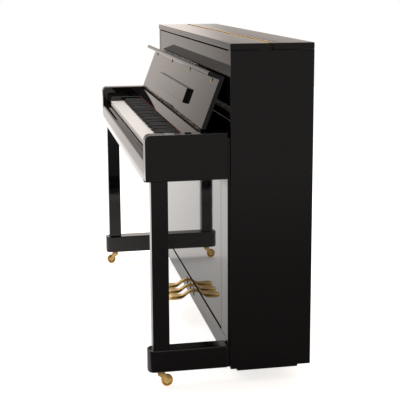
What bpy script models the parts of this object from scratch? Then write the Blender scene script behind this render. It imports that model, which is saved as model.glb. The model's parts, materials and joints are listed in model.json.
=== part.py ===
"""Compact console upright piano, modelled as the separate pieces it is built from.

X runs along the keyboard (bass at -X, treble at +X), the player sits at -Y, +Z is up.
The origin is on the floor, in the middle of the piano's footprint.  Lengths are metres.
"""
import math

import bmesh
import bpy
from mathutils import Matrix, Vector

# ---- driving dimensions --------------------------------------------------------------
GAP = 0.0003            # clearance between pieces that touch
CASE_HALF = 0.745       # outer face of a side panel
SIDE_THICK = 0.036
FRONT = -0.265          # front of arms, key slip and toes
BACK = 0.265            # rear of the side panels
LID_TOP = 1.090
LID_THICK = 0.020
LID_HALF = 0.749
LID_FRONT = -0.0015
LID_BACK = 0.2635
LID_HINGE_Y = 0.1305
LID_KNUCKLE = 0.0016    # radius of the lid's continuous hinge
SIDE_TOP = 1.0695
SIDE_BOTTOM = 0.049
SKID_BOTTOM = 0.0426
PANEL_FRONT = -0.008    # plane of the lower panel, plinth and battens
PANEL_THICK = 0.020

ARM_THICK = 0.045
ARM_TOP = 0.817
ARM_BOTTOM = 0.672
ARM_ROUND = 0.018
LEG_SIDE = 0.0425
LEG_DEPTH = 0.053
LEG_FRONT = -0.249
LEG_OUTER = 0.743
TOE_WIDTH = 0.057
TOE_TOP = 0.1295
TOE_BOTTOM = 0.056
TOE_ROUND = 0.022
PLINTH_BOTTOM = 0.075
PLINTH_TOP = 0.1455
PANEL_GROOVE = 0.009    # open groove between the plinth and the lower panel
STILE_EDGE = 0.640      # inner side of the fixed stiles beside the lower panel

KEYBED_BOTTOM = 0.664
KEYBED_TOP = 0.6995
KEYBED_BACK = 0.098
WHITE_PITCH = 0.0235
WHITE_COUNT = 52
KEY_SPLIT = 0.001       # gap between two keys
KEY_FRONT = -0.238
KEY_BACK = 0.095
KEY_TOP = 0.765
KEY_THICK = 0.020
HEAD_LENGTH = 0.052
BLACK_FRONT = KEY_FRONT + HEAD_LENGTH + 0.002
BLACK_BACK = -0.090
BLACK_RISE = 0.012
BLACK_WIDTH = 0.0125
BALANCE_Y = -0.015      # the rail that the keys rock on

FALL_HINGE = (-0.084, 0.821)    # y, z of the fallboard's hinge axis
FALL_LEAN = math.radians(20.8)  # lean of the open fallboard
FALL_HALF = 0.697
FALL_THICK = 0.014
FALL_LENGTH = 0.180
LIP_LENGTH = 0.040
FALL_KNUCKLE = 0.0025
DESK_HALF = 0.330
DESK_START = 0.043      # distance of the desk's hinge from the fallboard's hinge
DESK_WIDTH = 0.053
DESK_THICK = 0.012
DESK_GAP = 0.0005

PEDAL_X = (-0.010, 0.060, 0.130)
PEDAL_PIVOT = (0.055, 0.118)    # y, z
PEDAL_REAR = 0.120
ROD_Y = 0.112
ROD_RADIUS = 0.005

WHEEL_RADIUS = 0.0195
WHEEL_WIDTH = 0.015
WHEEL_STEPS = 24
AXLE_RADIUS = 0.003
CASTER_TRAIL = 0.020
FORK_DISC_BOTTOM = 0.047

EDGE = 0.0015           # softened edge of a lacquered board
INNER_X = CASE_HALF - SIDE_THICK
BED_HALF = CASE_HALF - ARM_THICK - 0.0005
KEYS_HALF = WHITE_PITCH * WHITE_COUNT / 2

NOTE_NAMES = ("c", "c_sharp", "d", "d_sharp", "e", "f",
              "f_sharp", "g", "g_sharp", "a", "a_sharp", "b")
WHITE_STEPS = (0, 2, 4, 5, 7, 9, 11)

BLACK_LACQUER = ((0.008, 0.008, 0.009), 0.06, 0.0)
BRASS = ((0.80, 0.55, 0.20), 0.22, 1.0)
IVORY_WHITE = ((0.86, 0.85, 0.82), 0.25, 0.0)
KEY_BLACK = ((0.015, 0.015, 0.016), 0.35, 0.0)
RED_FELT = ((0.16, 0.015, 0.025), 0.95, 0.0)
SPRUCE = ((0.62, 0.42, 0.22), 0.5, 0.0)
BEECH = ((0.50, 0.33, 0.18), 0.55, 0.0)
GOLD_IRON = ((0.55, 0.40, 0.16), 0.4, 0.6)
HAMMER_FELT = ((0.82, 0.80, 0.74), 0.95, 0.0)


# ---- helpers -------------------------------------------------------------------------
def clear_scene():
    for old in list(bpy.data.objects):
        bpy.data.objects.remove(old, do_unlink=True)


def new_collection(name):
    collection = bpy.data.collections.new(name)
    bpy.context.scene.collection.children.link(collection)
    return collection


def add_finish(obj, finish):
    """Give the object its own Principled material."""
    colour, roughness, metallic = finish
    material = bpy.data.materials.new(obj.name + "_finish")
    material.use_nodes = True
    shader = material.node_tree.nodes["Principled BSDF"]
    shader.inputs["Base Color"].default_value = (*colour, 1.0)
    shader.inputs["Roughness"].default_value = roughness
    shader.inputs["Metallic"].default_value = metallic
    obj.data.materials.append(material)


def add_object(name, bm, collection, location=(0.0, 0.0, 0.0), turn=None):
    mesh = bpy.data.meshes.new(name)
    bm.to_mesh(mesh)
    bm.free()
    obj = bpy.data.objects.new(name, mesh)
    obj.location = location
    if turn is not None:
        obj.rotation_euler = turn
    collection.objects.link(obj)
    return obj


def soften(obj, width, segments=2):
    """Round every sharp edge of a board or casting."""
    bevel = obj.modifiers.new("edge", "BEVEL")
    bevel.width = width
    bevel.segments = segments
    bevel.limit_method = "ANGLE"
    bevel.angle_limit = math.radians(50)


def box_mesh(low, high):
    """A box in the coordinates of its own object, as a bmesh."""
    bm = bmesh.new()
    size = [b - a for a, b in zip(low, high)]
    centre = [(a + b) / 2 for a, b in zip(low, high)]
    place = Matrix.Translation(centre) @ Matrix.Diagonal((*size, 1.0))
    bmesh.ops.create_cube(bm, size=1.0, matrix=place)
    return bm


def board(name, low, high, finish, collection, edge=EDGE, segments=1):
    """A straight board whose origin is at its own centre."""
    centre = Vector([(a + b) / 2 for a, b in zip(low, high)])
    bm = box_mesh(Vector(low) - centre, Vector(high) - centre)
    obj = add_object(name, bm, collection, centre)
    add_finish(obj, finish)
    if edge:
        soften(obj, edge, segments)
    return obj


def round_edges(obj, chooser, radius, segments):
    """Round the edges of a mesh whose two ends both satisfy chooser(point)."""
    bm = bmesh.new()
    bm.from_mesh(obj.data)
    edges = [e for e in bm.edges if all(chooser(v.co) for v in e.verts)]
    bmesh.ops.bevel(bm, geom=edges, offset=radius, segments=segments, profile=0.5,
                    affect="EDGES", clamp_overlap=True)
    bm.to_mesh(obj.data)
    bm.free()


def extrusion(name, outline, low, high, finish, collection, location=(0.0, 0.0, 0.0), turn=0.0):
    """A flat (y, z) outline drawn as a filled curve and carried along X from low to high."""
    curve = bpy.data.curves.new(name + "_outline", "CURVE")
    curve.dimensions = "2D"
    curve.fill_mode = "BOTH"
    curve.extrude = (high - low) / 2
    spline = curve.splines.new("POLY")
    spline.points.add(len(outline) - 1)
    for point, (y, z) in zip(spline.points, outline):
        point.co = (y, z, 0.0, 1.0)
    spline.use_cyclic_u = True
    guide = bpy.data.objects.new(name + "_outline", curve)
    collection.objects.link(guide)
    bpy.context.view_layer.update()
    mesh = bpy.data.meshes.new_from_object(guide.evaluated_get(bpy.context.evaluated_depsgraph_get()))
    bpy.data.objects.remove(guide, do_unlink=True)
    bm = bmesh.new()
    bm.from_mesh(mesh)
    bmesh.ops.remove_doubles(bm, verts=bm.verts, dist=0.00001)
    # the curve's plane (x, y) becomes the piano's (y, z), its depth becomes X
    upright = Matrix(((0, 0, 1, (low + high) / 2), (1, 0, 0, 0), (0, 1, 0, 0), (0, 0, 0, 1)))
    bmesh.ops.transform(bm, matrix=upright, verts=bm.verts)
    bmesh.ops.recalc_face_normals(bm, faces=bm.faces)
    obj = add_object(name, bm, collection, location, (turn, 0.0, 0.0))
    if finish is not None:
        add_finish(obj, finish)
    return obj


def cylinder_mesh(radius, length, axis, centre, segments=24):
    """A capped cylinder about X or Z, as a bmesh."""
    bm = bmesh.new()
    turn = Matrix.Rotation(math.pi / 2, 4, "Y") if axis == "X" else Matrix.Identity(4)
    bmesh.ops.create_cone(bm, cap_ends=True, segments=segments, radius1=radius, radius2=radius,
                          depth=length, matrix=Matrix.Translation(centre) @ turn)
    return bm


def boolean(obj, bm, operation, cutters, label):
    """Cut obj with the mesh, or join the mesh to it; both are in obj's own coordinates."""
    tool = add_object(obj.name + "_" + label, bm, cutters, obj.location, obj.rotation_euler)
    tool.hide_render = True
    tool.display_type = "WIRE"
    modifier = obj.modifiers.new(label, "BOOLEAN")
    modifier.operation = operation
    modifier.solver = "EXACT"
    modifier.object = tool


def smooth(obj, angle=35):
    obj.data.shade_smooth()
    obj.data.set_sharp_from_angle(angle=math.radians(angle))


def boolean_boxes(obj, boxes, operation, cutters, label):
    """Cut or join several boxes that don't touch, given in the piano's own frame."""
    bm = bmesh.new()
    for low, high in boxes:
        size = [b - a for a, b in zip(low, high)]
        centre = Vector([(a + b) / 2 for a, b in zip(low, high)]) - obj.location
        bmesh.ops.create_cube(bm, size=1.0,
                              matrix=Matrix.Translation(centre) @ Matrix.Diagonal((*size, 1.0)))
    boolean(obj, bm, operation, cutters, label)


def sides():
    """The two ends of the piano, with the sign of their X."""
    return (("left", -1), ("right", 1))


def span(sign, inner, outer):
    """The X range from inner to outer on one side of the piano."""
    return sorted((sign * inner, sign * outer))


# ---- case ----------------------------------------------------------------------------
def side_panels(parts):
    outline = [(GAP, SIDE_BOTTOM), (0.020, SIDE_BOTTOM), (0.0215, SKID_BOTTOM),
               (0.2215, SKID_BOTTOM), (0.223, SIDE_BOTTOM), (BACK, SIDE_BOTTOM),
               (BACK, SIDE_TOP), (GAP, SIDE_TOP)]
    for side, sign in sides():
        low, high = span(sign, INNER_X, CASE_HALF)
        panel = extrusion("side_panel_" + side, outline, low, high, BLACK_LACQUER, parts)
        soften(panel, EDGE, 1)


def battens(parts, cutters):
    """An upright at each end, widened under the keybed into the stile beside the lower panel."""
    for side, sign in sides():
        low, high = span(sign, 0.700, 0.738)
        batten = board("side_batten_" + side, (low, PANEL_FRONT, TOE_BOTTOM), (high, 0.0, 0.800),
                       BLACK_LACQUER, parts, edge=0)
        low, high = span(sign, STILE_EDGE, 0.710)
        stile = ((low, PANEL_FRONT, PLINTH_TOP + GAP), (high, 0.0, KEYBED_BOTTOM - GAP))
        boolean_boxes(batten, [stile], "UNION", cutters, "stile")
        soften(batten, 0.0008, 1)


def arms(parts):
    for side, sign in sides():
        low, high = span(sign, CASE_HALF - ARM_THICK, CASE_HALF)
        arm = board("arm_" + side, (low, FRONT, ARM_BOTTOM),
                    (high, PANEL_FRONT - GAP, ARM_TOP), BLACK_LACQUER, parts, edge=0)
        round_edges(arm, lambda p: p.y < 0 and p.z > 0, ARM_ROUND, 6)
        soften(arm, EDGE, 1)


def legs(parts):
    for side, sign in sides():
        low, high = span(sign, LEG_OUTER - LEG_SIDE, LEG_OUTER)
        board("leg_" + side, (low, LEG_FRONT, TOE_TOP + GAP),
              (high, LEG_FRONT + LEG_DEPTH, ARM_BOTTOM - GAP), BLACK_LACQUER, parts, edge=0.002)


def toes(parts):
    for side, sign in sides():
        low, high = span(sign, CASE_HALF - TOE_WIDTH, CASE_HALF)
        toe = board("toe_" + side, (low, FRONT, TOE_BOTTOM),
                    (high, PANEL_FRONT - GAP, TOE_TOP), BLACK_LACQUER, parts, edge=0)
        front = (FRONT - PANEL_FRONT) / 2 + 0.001
        for turn in (-1, 1):
            round_edges(toe, lambda p, t=turn: p.y < front and p.x * t > 0.02, TOE_ROUND, 6)
        soften(toe, 0.003, 2)


def lower_case(parts, cutters):
    half = STILE_EDGE - 0.0015
    board("lower_panel", (-half, PANEL_FRONT, PLINTH_TOP + PANEL_GROOVE),
          (half, PANEL_FRONT + PANEL_THICK, KEYBED_BOTTOM - GAP), BLACK_LACQUER, parts)
    plinth = board("plinth_rail", (-BED_HALF, PANEL_FRONT, PLINTH_BOTTOM),
                   (BED_HALF, PANEL_FRONT + PANEL_THICK, PLINTH_TOP), BLACK_LACQUER, parts, edge=0)
    slots = [((x - 0.011, PANEL_FRONT - 0.010, 0.100), (x + 0.011, 0.020, 0.130)) for x in PEDAL_X]
    boolean_boxes(plinth, slots, "DIFFERENCE", cutters, "pedal_slots")
    soften(plinth, 0.001, 1)


def bottom_board(parts, cutters):
    """The shelf at the bottom of the case, with two ears that hold each pedal's pivot."""
    low = (-INNER_X + GAP, PANEL_FRONT + PANEL_THICK + GAP, 0.070)
    high = (INNER_X - GAP, 0.1595, 0.090)
    shelf = board("bottom_board", low, high, BEECH, parts, edge=0)
    pivot_y, pivot_z = PEDAL_PIVOT
    ears = []
    for x in PEDAL_X:
        for side in (-1, 1):
            inner = x + side * 0.0095
            outer = x + side * 0.0165
            ears.append(((min(inner, outer), pivot_y - 0.010, 0.085),
                         (max(inner, outer), pivot_y + 0.010, pivot_z + 0.009)))
    boolean_boxes(shelf, ears, "UNION", cutters, "pivot_ears")


def upper_panel(parts):
    board("upper_panel", (-INNER_X + GAP, 0.001, 0.8125), (INNER_X - GAP, 0.019, 1.065),
          BLACK_LACQUER, parts)


def lid(parts, cutters):
    top = (LID_TOP - LID_THICK, LID_TOP)
    slot = 0.002
    board("lid_rear", (-LID_HALF, LID_HINGE_Y + slot, top[0]), (LID_HALF, LID_BACK, top[1]),
          BLACK_LACQUER, parts)
    axis = Vector((0.0, LID_HINGE_Y, LID_TOP + 0.0006))
    leaf = box_mesh(Vector((-LID_HALF, LID_FRONT, top[0])) - axis,
                    Vector((LID_HALF, LID_HINGE_Y - slot, top[1])) - axis)
    front = add_object("lid_front", leaf, parts, axis)
    add_finish(front, BLACK_LACQUER)
    soften(front, EDGE, 1)
    rod = cylinder_mesh(LID_KNUCKLE, 2 * LID_HALF - 0.004, "X", (0, 0, 0), 12)
    hinge = add_object("lid_hinge", rod, parts, axis)
    add_finish(hinge, BRASS)
    half = LID_HALF - 0.002
    web = box_mesh((-half, -0.0008, -0.0180), (half, 0.0008, -0.0002))
    boolean(hinge, web, "UNION", cutters, "web")
    smooth(hinge)


# ---- keyboard ------------------------------------------------------------------------
def keybed(parts):
    board("keybed", (-BED_HALF, KEY_FRONT - 0.0012, KEYBED_BOTTOM),
          (BED_HALF, KEYBED_BACK, KEYBED_TOP), BEECH, parts, edge=0.001)


def key_slip(parts):
    """Tall front rail with a rounded top edge and a raised ledge in front of the keys."""
    rounding = [(FRONT + 0.006 - 0.006 * math.cos(a), 0.730 + 0.006 * math.sin(a))
                for a in [math.radians(15 * step) for step in range(7)]]
    outline = [(FRONT, KEYBED_BOTTOM)] + rounding + [
        (-0.2500, 0.7375), (-0.2470, 0.7400), (-0.2460, 0.7430), (-0.2440, 0.7440),
        (-0.2408, 0.7440), (-0.2396, 0.7428), (-0.2396, KEYBED_BOTTOM)]
    slip = extrusion("key_slip", outline, -BED_HALF, BED_HALF, BLACK_LACQUER, parts)
    smooth(slip, 30)


def key_frame(parts):
    """The frame that the keys rock on: front rail, balance rail and back rail."""
    outline = [(-0.235, 0.6998), (KEY_BACK, 0.6998), (KEY_BACK, 0.7445), (0.070, 0.7445),
               (0.070, 0.712), (BALANCE_Y + 0.015, 0.712), (BALANCE_Y + 0.004, 0.7445),
               (BALANCE_Y - 0.004, 0.7445), (BALANCE_Y - 0.015, 0.712), (-0.205, 0.712),
               (-0.205, 0.728), (-0.235, 0.728)]
    extrusion("key_frame", outline, -KEYS_HALF, KEYS_HALF, BEECH, parts)


def cheek_blocks(parts):
    for side, sign in sides():
        low, high = span(sign, KEYS_HALF + 0.0015, CASE_HALF - ARM_THICK - GAP)
        cheek = board("cheek_block_" + side, (low, KEY_FRONT, KEYBED_TOP + GAP),
                      (high, -0.1055, 0.783), BLACK_LACQUER, parts, edge=0)
        round_edges(cheek, lambda p: p.y < 0 and p.z > 0, 0.008, 3)
        soften(cheek, EDGE, 1)


def white_left(index):
    """X of the left side of a white key's slot, counting from the lowest white key."""
    return -KEYS_HALF + index * WHITE_PITCH


def note_slot(octave_left, step):
    """The X range of one of the twelve equal-looking slots at the rear of an octave."""
    if step < 5:
        width = 3 * WHITE_PITCH / 5
        return octave_left + step * width, octave_left + (step + 1) * width
    width = 4 * WHITE_PITCH / 7
    start = octave_left + 3 * WHITE_PITCH + (step - 5) * width
    return start, start + width


def is_white(step):
    return step in WHITE_STEPS


def black_centre(octave_left, step):
    low, high = note_slot(octave_left, step)
    return (low + high) / 2


def octave_start(octave):
    """X of the left side of the C that opens an octave; the lowest keys are A, A sharp and B."""
    return white_left(2 + 7 * (octave - 1))


def tail_limits(octave_left, step):
    """The X range of a white key behind the black keys' fronts."""
    index = WHITE_STEPS.index(step)
    low = octave_left + index * WHITE_PITCH + KEY_SPLIT / 2
    high = low + WHITE_PITCH - KEY_SPLIT
    reach = BLACK_WIDTH / 2 + KEY_SPLIT
    if step > 0 and not is_white(step - 1):
        low = black_centre(octave_left, step - 1) + reach
    if step < 11 and not is_white(step + 1):
        high = black_centre(octave_left, step + 1) - reach
    return low, high


def white_key(name, octave_left, step, parts):
    """A white key: a wide head, a narrower tail between the black keys, one flat outline."""
    index = WHITE_STEPS.index(step)
    head_low = octave_left + index * WHITE_PITCH + KEY_SPLIT / 2
    head_high = head_low + WHITE_PITCH - KEY_SPLIT
    tail_low, tail_high = tail_limits(octave_left, step)
    head_back = KEY_FRONT + HEAD_LENGTH
    low_z = KEY_TOP - KEY_THICK
    pivot = Vector(((head_low + head_high) / 2, BALANCE_Y, low_z))
    head = box_mesh(Vector((head_low, KEY_FRONT, low_z)) - pivot,
                    Vector((head_high, head_back, KEY_TOP)) - pivot)
    for face in [f for f in head.faces if f.normal.y > 0.9]:
        grown = bmesh.ops.extrude_face_region(head, geom=[face])
        tail = [v for v in grown["geom"] if isinstance(v, bmesh.types.BMVert)]
        head.faces.remove(face)
        for vertex in tail:
            vertex.co.x = (tail_low if vertex.co.x < 0 else tail_high) - pivot.x
            vertex.co.y += 0.0005
    rear = [f for f in head.faces if f.normal.y > 0.9]
    grown = bmesh.ops.extrude_face_region(head, geom=rear)
    for vertex in [v for v in grown["geom"] if isinstance(v, bmesh.types.BMVert)]:
        vertex.co.y = KEY_BACK - 0.001 - pivot.y
    for face in rear:
        head.faces.remove(face)
    bmesh.ops.remove_doubles(head, verts=head.verts, dist=0.000001)
    bmesh.ops.recalc_face_normals(head, faces=head.faces)
    key = add_object(name, head, parts, pivot)
    add_finish(key, IVORY_WHITE)
    return key


def black_outline(pivot_z):
    """Side view of a black key: a wooden stick with a raised, sloped ebony top."""
    top = KEY_TOP + BLACK_RISE - pivot_z
    stick = KEY_TOP - 0.001 - pivot_z
    front = BLACK_FRONT - BALANCE_Y
    back = BLACK_BACK - BALANCE_Y
    return [(front, 0.0), (front, stick), (front + 0.005, top - 0.002), (front + 0.008, top),
            (back, top), (back, stick), (KEY_BACK - 0.001 - BALANCE_Y, stick),
            (KEY_BACK - 0.001 - BALANCE_Y, 0.0)]


def black_key(name, octave_left, step, parts):
    low_z = KEY_TOP - KEY_THICK
    centre = black_centre(octave_left, step)
    half = BLACK_WIDTH / 2
    return extrusion(name, black_outline(low_z), -half, half, KEY_BLACK, parts,
                     (centre, BALANCE_Y, low_z))


def middle_octave(parts):
    """The twelve keys of the middle octave, each one a separate piece on its own pivot."""
    left = octave_start(4)
    for step, note in enumerate(NOTE_NAMES):
        maker = white_key if is_white(step) else black_key
        maker("key_" + note, left, step, parts)


def key_block(name, first, last, parts, cutters):
    """Neighbouring keys joined into one piece; first and last count the white keys."""
    low_x = white_left(first) + KEY_SPLIT / 2
    high_x = white_left(last + 1) - KEY_SPLIT / 2
    low = (low_x, KEY_FRONT, KEY_TOP - KEY_THICK)
    high = (high_x, KEY_BACK - 0.001, KEY_TOP)
    block = board(name, low, high, IVORY_WHITE, parts, edge=0)
    grooves = [((white_left(i) - KEY_SPLIT / 2, KEY_FRONT - 0.002, KEY_TOP - 0.014),
                (white_left(i) + KEY_SPLIT / 2, KEY_FRONT + HEAD_LENGTH, KEY_TOP + 0.002))
               for i in range(first + 1, last + 1)]
    tops = []
    for octave in range(0, 8):
        left = octave_start(octave)
        for step in range(12):
            centre = black_centre(left, step)
            if not is_white(step) and low_x < centre < high_x:
                tops.append(((centre - BLACK_WIDTH / 2, BLACK_FRONT + 0.003, KEY_TOP - 0.004),
                             (centre + BLACK_WIDTH / 2, BLACK_BACK, KEY_TOP + BLACK_RISE)))
    boolean_boxes(block, grooves, "DIFFERENCE", cutters, "grooves")
    boolean_boxes(block, tops, "UNION", cutters, "tops")


# ---- fallboard -----------------------------------------------------------------------
def fall_strip(parts):
    """Steep strip behind the keys, with a shelf behind it that carries the fallboard's hinge."""
    outline = [(-0.1045, 0.7805), (-0.0905, 0.8155), (-0.0885, 0.8155), (-0.0880, 0.8120),
               (-0.0010, 0.8120), (-0.0010, 0.7866), (-0.0870, 0.7866), (-0.0950, 0.7805)]
    strip = extrusion("fall_strip", outline, -BED_HALF, BED_HALF, BLACK_LACQUER, parts)
    smooth(strip, 25)


def name_felt(parts):
    board("name_felt", (-KEYS_HALF - 0.001, -0.1085, 0.7795), (KEYS_HALF + 0.001, -0.1048, 0.7855),
          RED_FELT, parts, edge=0.001)


def fallboard(parts):
    """The leaf and its fixed lip, drawn in the leaf's own directions about the hinge axis."""
    start = 0.0035
    lip_start = FALL_LENGTH - FALL_THICK
    outline = [(0.0, start), (FALL_THICK, start), (FALL_THICK, FALL_LENGTH),
               (-LIP_LENGTH, FALL_LENGTH), (-LIP_LENGTH, lip_start), (0.0, lip_start)]
    leaf = extrusion("fallboard", outline, -FALL_HALF, FALL_HALF, BLACK_LACQUER, parts,
                     (0.0, *FALL_HINGE), -FALL_LEAN)
    soften(leaf, 0.002, 2)


def fallboard_hinge(parts, cutters):
    half = FALL_HALF - 0.001
    rod = cylinder_mesh(FALL_KNUCKLE, 2 * half, "X", (0, 0, 0), 16)
    hinge = add_object("fallboard_hinge", rod, parts, (0.0, *FALL_HINGE))
    add_finish(hinge, BRASS)
    web = box_mesh((-half, -0.0008, 0.8123 - FALL_HINGE[1]), (half, 0.0008, 0.0))
    boolean(hinge, web, "UNION", cutters, "web")
    smooth(hinge)


def music_desk(parts):
    """Ledge that lies on the open fallboard and folds forward about its lower edge."""
    along = Matrix.Rotation(-FALL_LEAN, 3, "X")
    axis = Vector((0.0, *FALL_HINGE)) + along @ Vector((0.0, -DESK_GAP, DESK_START))
    leaf = box_mesh((-DESK_HALF, -DESK_THICK, 0.0), (DESK_HALF, 0.0, DESK_WIDTH))
    desk = add_object("music_desk", leaf, parts, axis, (-FALL_LEAN, 0.0, 0.0))
    add_finish(desk, BLACK_LACQUER)
    soften(desk, 0.0015, 2)


# ---- inside --------------------------------------------------------------------------
def back_frame(parts, cutters):
    """Beech frame of two stiles, two rails and three posts."""
    half = INNER_X - GAP
    frame = board("back_frame", (-half, 0.2015, 0.066), (half, 0.2625, 1.045), BEECH, parts, edge=0)
    edges = (-0.6585, -0.380, -0.320, -0.030, 0.030, 0.320, 0.380, 0.6585)
    bays = [((low, 0.190, 0.160), (high, 0.280, 0.930))
            for low, high in zip(edges[0::2], edges[1::2])]
    boolean_boxes(frame, bays, "DIFFERENCE", cutters, "bays")


def strung_back(parts, cutters):
    """Soundboard, pin block and the cast-iron plate that carries the strings."""
    half = 0.705
    board("soundboard", (-half, 0.1915, 0.100), (half, 0.2012, 0.925), SPRUCE, parts, edge=0)
    board("pin_block", (-half, 0.1780, 0.929), (half, 0.2012, 1.045), BEECH, parts, edge=0)
    plate = board("iron_plate", (-half, 0.1600, 0.080), (half, 0.1777, 1.045), GOLD_IRON, parts,
                  edge=0)
    edges = (-0.650, -0.265, -0.225, 0.160, 0.200, 0.420, 0.460, 0.650)
    bays = [((low, 0.150, 0.200), (high, 0.185, 0.900))
            for low, high in zip(edges[0::2], edges[1::2])]
    boolean_boxes(plate, bays, "DIFFERENCE", cutters, "bays")


def action(parts, cutters):
    """The action's main rail with its two end brackets, and the row of hammers above it."""
    rail = board("action_frame", (-0.690, 0.030, 0.800), (0.690, 0.072, 0.835), BEECH, parts, edge=0)
    brackets = [((sign * 0.655 - 0.006, 0.030, KEYBED_TOP + GAP),
                 (sign * 0.655 + 0.006, 0.095, 0.905)) for sign in (-1, 1)]
    boolean_boxes(rail, brackets, "UNION", cutters, "brackets")
    outline = [(0.045, 0.8353), (0.070, 0.8353), (0.074, 0.850), (0.088, 0.930), (0.090, 0.942),
               (0.120, 0.950), (0.146, 0.958), (0.146, 0.975), (0.120, 0.982), (0.088, 0.972),
               (0.076, 0.960), (0.064, 0.870), (0.045, 0.860)]
    extrusion("hammer_row", outline, -0.605, 0.605, HAMMER_FELT, parts)


# ---- pedals --------------------------------------------------------------------------
def pedal_sections():
    """(y, height of the middle, width, thickness) from the rounded tip to the rear end."""
    return ((-0.1080, 0.0970, 0.010, 0.0050), (-0.1055, 0.0970, 0.022, 0.0080),
            (-0.1000, 0.0972, 0.030, 0.0100), (-0.0900, 0.0978, 0.034, 0.0110),
            (-0.0700, 0.0990, 0.030, 0.0110), (-0.0500, 0.0998, 0.022, 0.0110),
            (-0.0340, 0.1015, 0.016, 0.0110), (-0.0220, 0.1080, 0.015, 0.0110),
            (-0.0120, 0.1155, 0.015, 0.0110), (-0.0020, 0.1180, 0.015, 0.0110),
            (0.0700, 0.1180, 0.015, 0.0110), (PEDAL_REAR, 0.1180, 0.015, 0.0110))


def pedal_mesh():
    """A loft of eight-sided sections, wide at the tip and narrow where it enters the case."""
    bm = bmesh.new()
    pivot_y, pivot_z = PEDAL_PIVOT
    corners = ((-1.0, 0.3), (-0.75, 1.0), (0.75, 1.0), (1.0, 0.3),
               (1.0, -0.3), (0.75, -1.0), (-0.75, -1.0), (-1.0, -0.3))
    rings = []
    for y, z, width, thick in pedal_sections():
        rings.append([bm.verts.new((u * width / 2, y - pivot_y, z - pivot_z + v * thick / 2))
                      for u, v in corners])
    for ring, after in zip(rings, rings[1:]):
        for i in range(8):
            j = (i + 1) % 8
            bm.faces.new((ring[i], ring[j], after[j], after[i]))
    bm.faces.new(rings[0])
    bm.faces.new(rings[-1])
    bmesh.ops.recalc_face_normals(bm, faces=bm.faces)
    return bm


def pedals(parts):
    pivot_y, pivot_z = PEDAL_PIVOT
    for x, name in zip(PEDAL_X, ("left", "middle", "right")):
        pedal = add_object("pedal_" + name, pedal_mesh(), parts, (x, pivot_y, pivot_z))
        add_finish(pedal, BRASS)
        smooth(pedal, 50)


def sustain_rod(parts):
    """Wooden dowel that the right pedal's rear end lifts."""
    low = PEDAL_PIVOT[1] + 0.0055 + 0.0007
    high = 0.798
    rod = cylinder_mesh(ROD_RADIUS, high - low, "Z", (0, 0, 0), 12)
    obj = add_object("sustain_rod", rod, parts, (PEDAL_X[2], ROD_Y, (low + high) / 2))
    add_finish(obj, BEECH)
    smooth(obj)


def muffler_rail(parts):
    """Felt-faced rail that the middle pedal lowers between the hammers and the strings."""
    board("muffler_rail", (-0.600, 0.1480, 0.990), (0.600, 0.1540, 1.020), HAMMER_FELT, parts,
          edge=0.001)


# ---- casters -------------------------------------------------------------------------
def wheel_profile():
    """(radius, x) of the wheel's outside, from its bore over the tread's edge."""
    half = WHEEL_WIDTH / 2
    return [(AXLE_RADIUS + 0.0004, half), (WHEEL_RADIUS - 0.0015, half),
            (WHEEL_RADIUS, half - 0.0015)]


def caster_wheel(name, place, parts):
    """A turned wheel with a bore, spun about X with a Screw modifier."""
    half_profile = wheel_profile()
    full = half_profile + [(radius, -x) for radius, x in reversed(half_profile)]
    bm = bmesh.new()
    # the profile stands at +X and is turned about Z; the object is then laid over onto X
    ring = [bm.verts.new((radius, 0.0, x)) for radius, x in full]
    for i, vertex in enumerate(ring):
        bm.edges.new((vertex, ring[(i + 1) % len(ring)]))
    wheel = add_object(name, bm, parts, place, (0.0, math.pi / 2, 0.0))
    screw = wheel.modifiers.new("turn", "SCREW")
    screw.steps = WHEEL_STEPS
    screw.render_steps = WHEEL_STEPS
    screw.use_merge_vertices = True
    screw.merge_threshold = 0.00001
    screw.use_smooth_shade = True
    add_finish(wheel, BRASS)


def fork_cheek(direction):
    """Side view of one cheek of the fork, from the disc down to the axle."""
    points = [(-0.011, 0.0480), (0.010, 0.0480), (0.022, 0.0310), (0.0265, 0.0240),
              (0.0265, 0.0155), (0.0225, 0.0120), (0.0165, 0.0130), (0.0120, 0.0200),
              (-0.0010, 0.0350), (-0.0110, 0.0420)]
    return [(direction * y, z) for y, z in points]


def caster(label, x, y, direction, top, parts, cutters):
    """Swivelling fork with its axle, and the wheel that turns on the axle."""
    disc_height = top - FORK_DISC_BOTTOM
    disc = cylinder_mesh(0.0135, disc_height, "Z", (0, 0, FORK_DISC_BOTTOM + disc_height / 2), 20)
    fork = add_object("caster_fork_" + label, disc, parts, (x, y, 0.0))
    add_finish(fork, BRASS)
    for side, inner in (("left", -0.0112), ("right", 0.0088)):
        cheek = extrusion("cheek", fork_cheek(direction), inner, inner + 0.0024, None, cutters)
        bm = bmesh.new()
        bm.from_mesh(cheek.data)
        bpy.data.objects.remove(cheek, do_unlink=True)
        boolean(fork, bm, "UNION", cutters, "cheek_" + side)
    axle = cylinder_mesh(AXLE_RADIUS, 0.0240, "X", (0, direction * CASTER_TRAIL, WHEEL_RADIUS), 16)
    boolean(fork, axle, "UNION", cutters, "axle")
    smooth(fork)
    caster_wheel("caster_wheel_" + label, (x, y + direction * CASTER_TRAIL, WHEEL_RADIUS), parts)


def casters(parts, cutters):
    front_top = TOE_BOTTOM - GAP
    rear_top = 0.066 - GAP
    toe_middle = CASE_HALF - TOE_WIDTH / 2
    caster("front_left", -toe_middle, -0.2225, -1, front_top, parts, cutters)
    caster("front_right", toe_middle, -0.2225, 1, front_top, parts, cutters)
    caster("rear_left", -0.600, 0.2200, 1, rear_top, parts, cutters)
    caster("rear_right", 0.600, 0.2200, 1, rear_top, parts, cutters)


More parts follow.
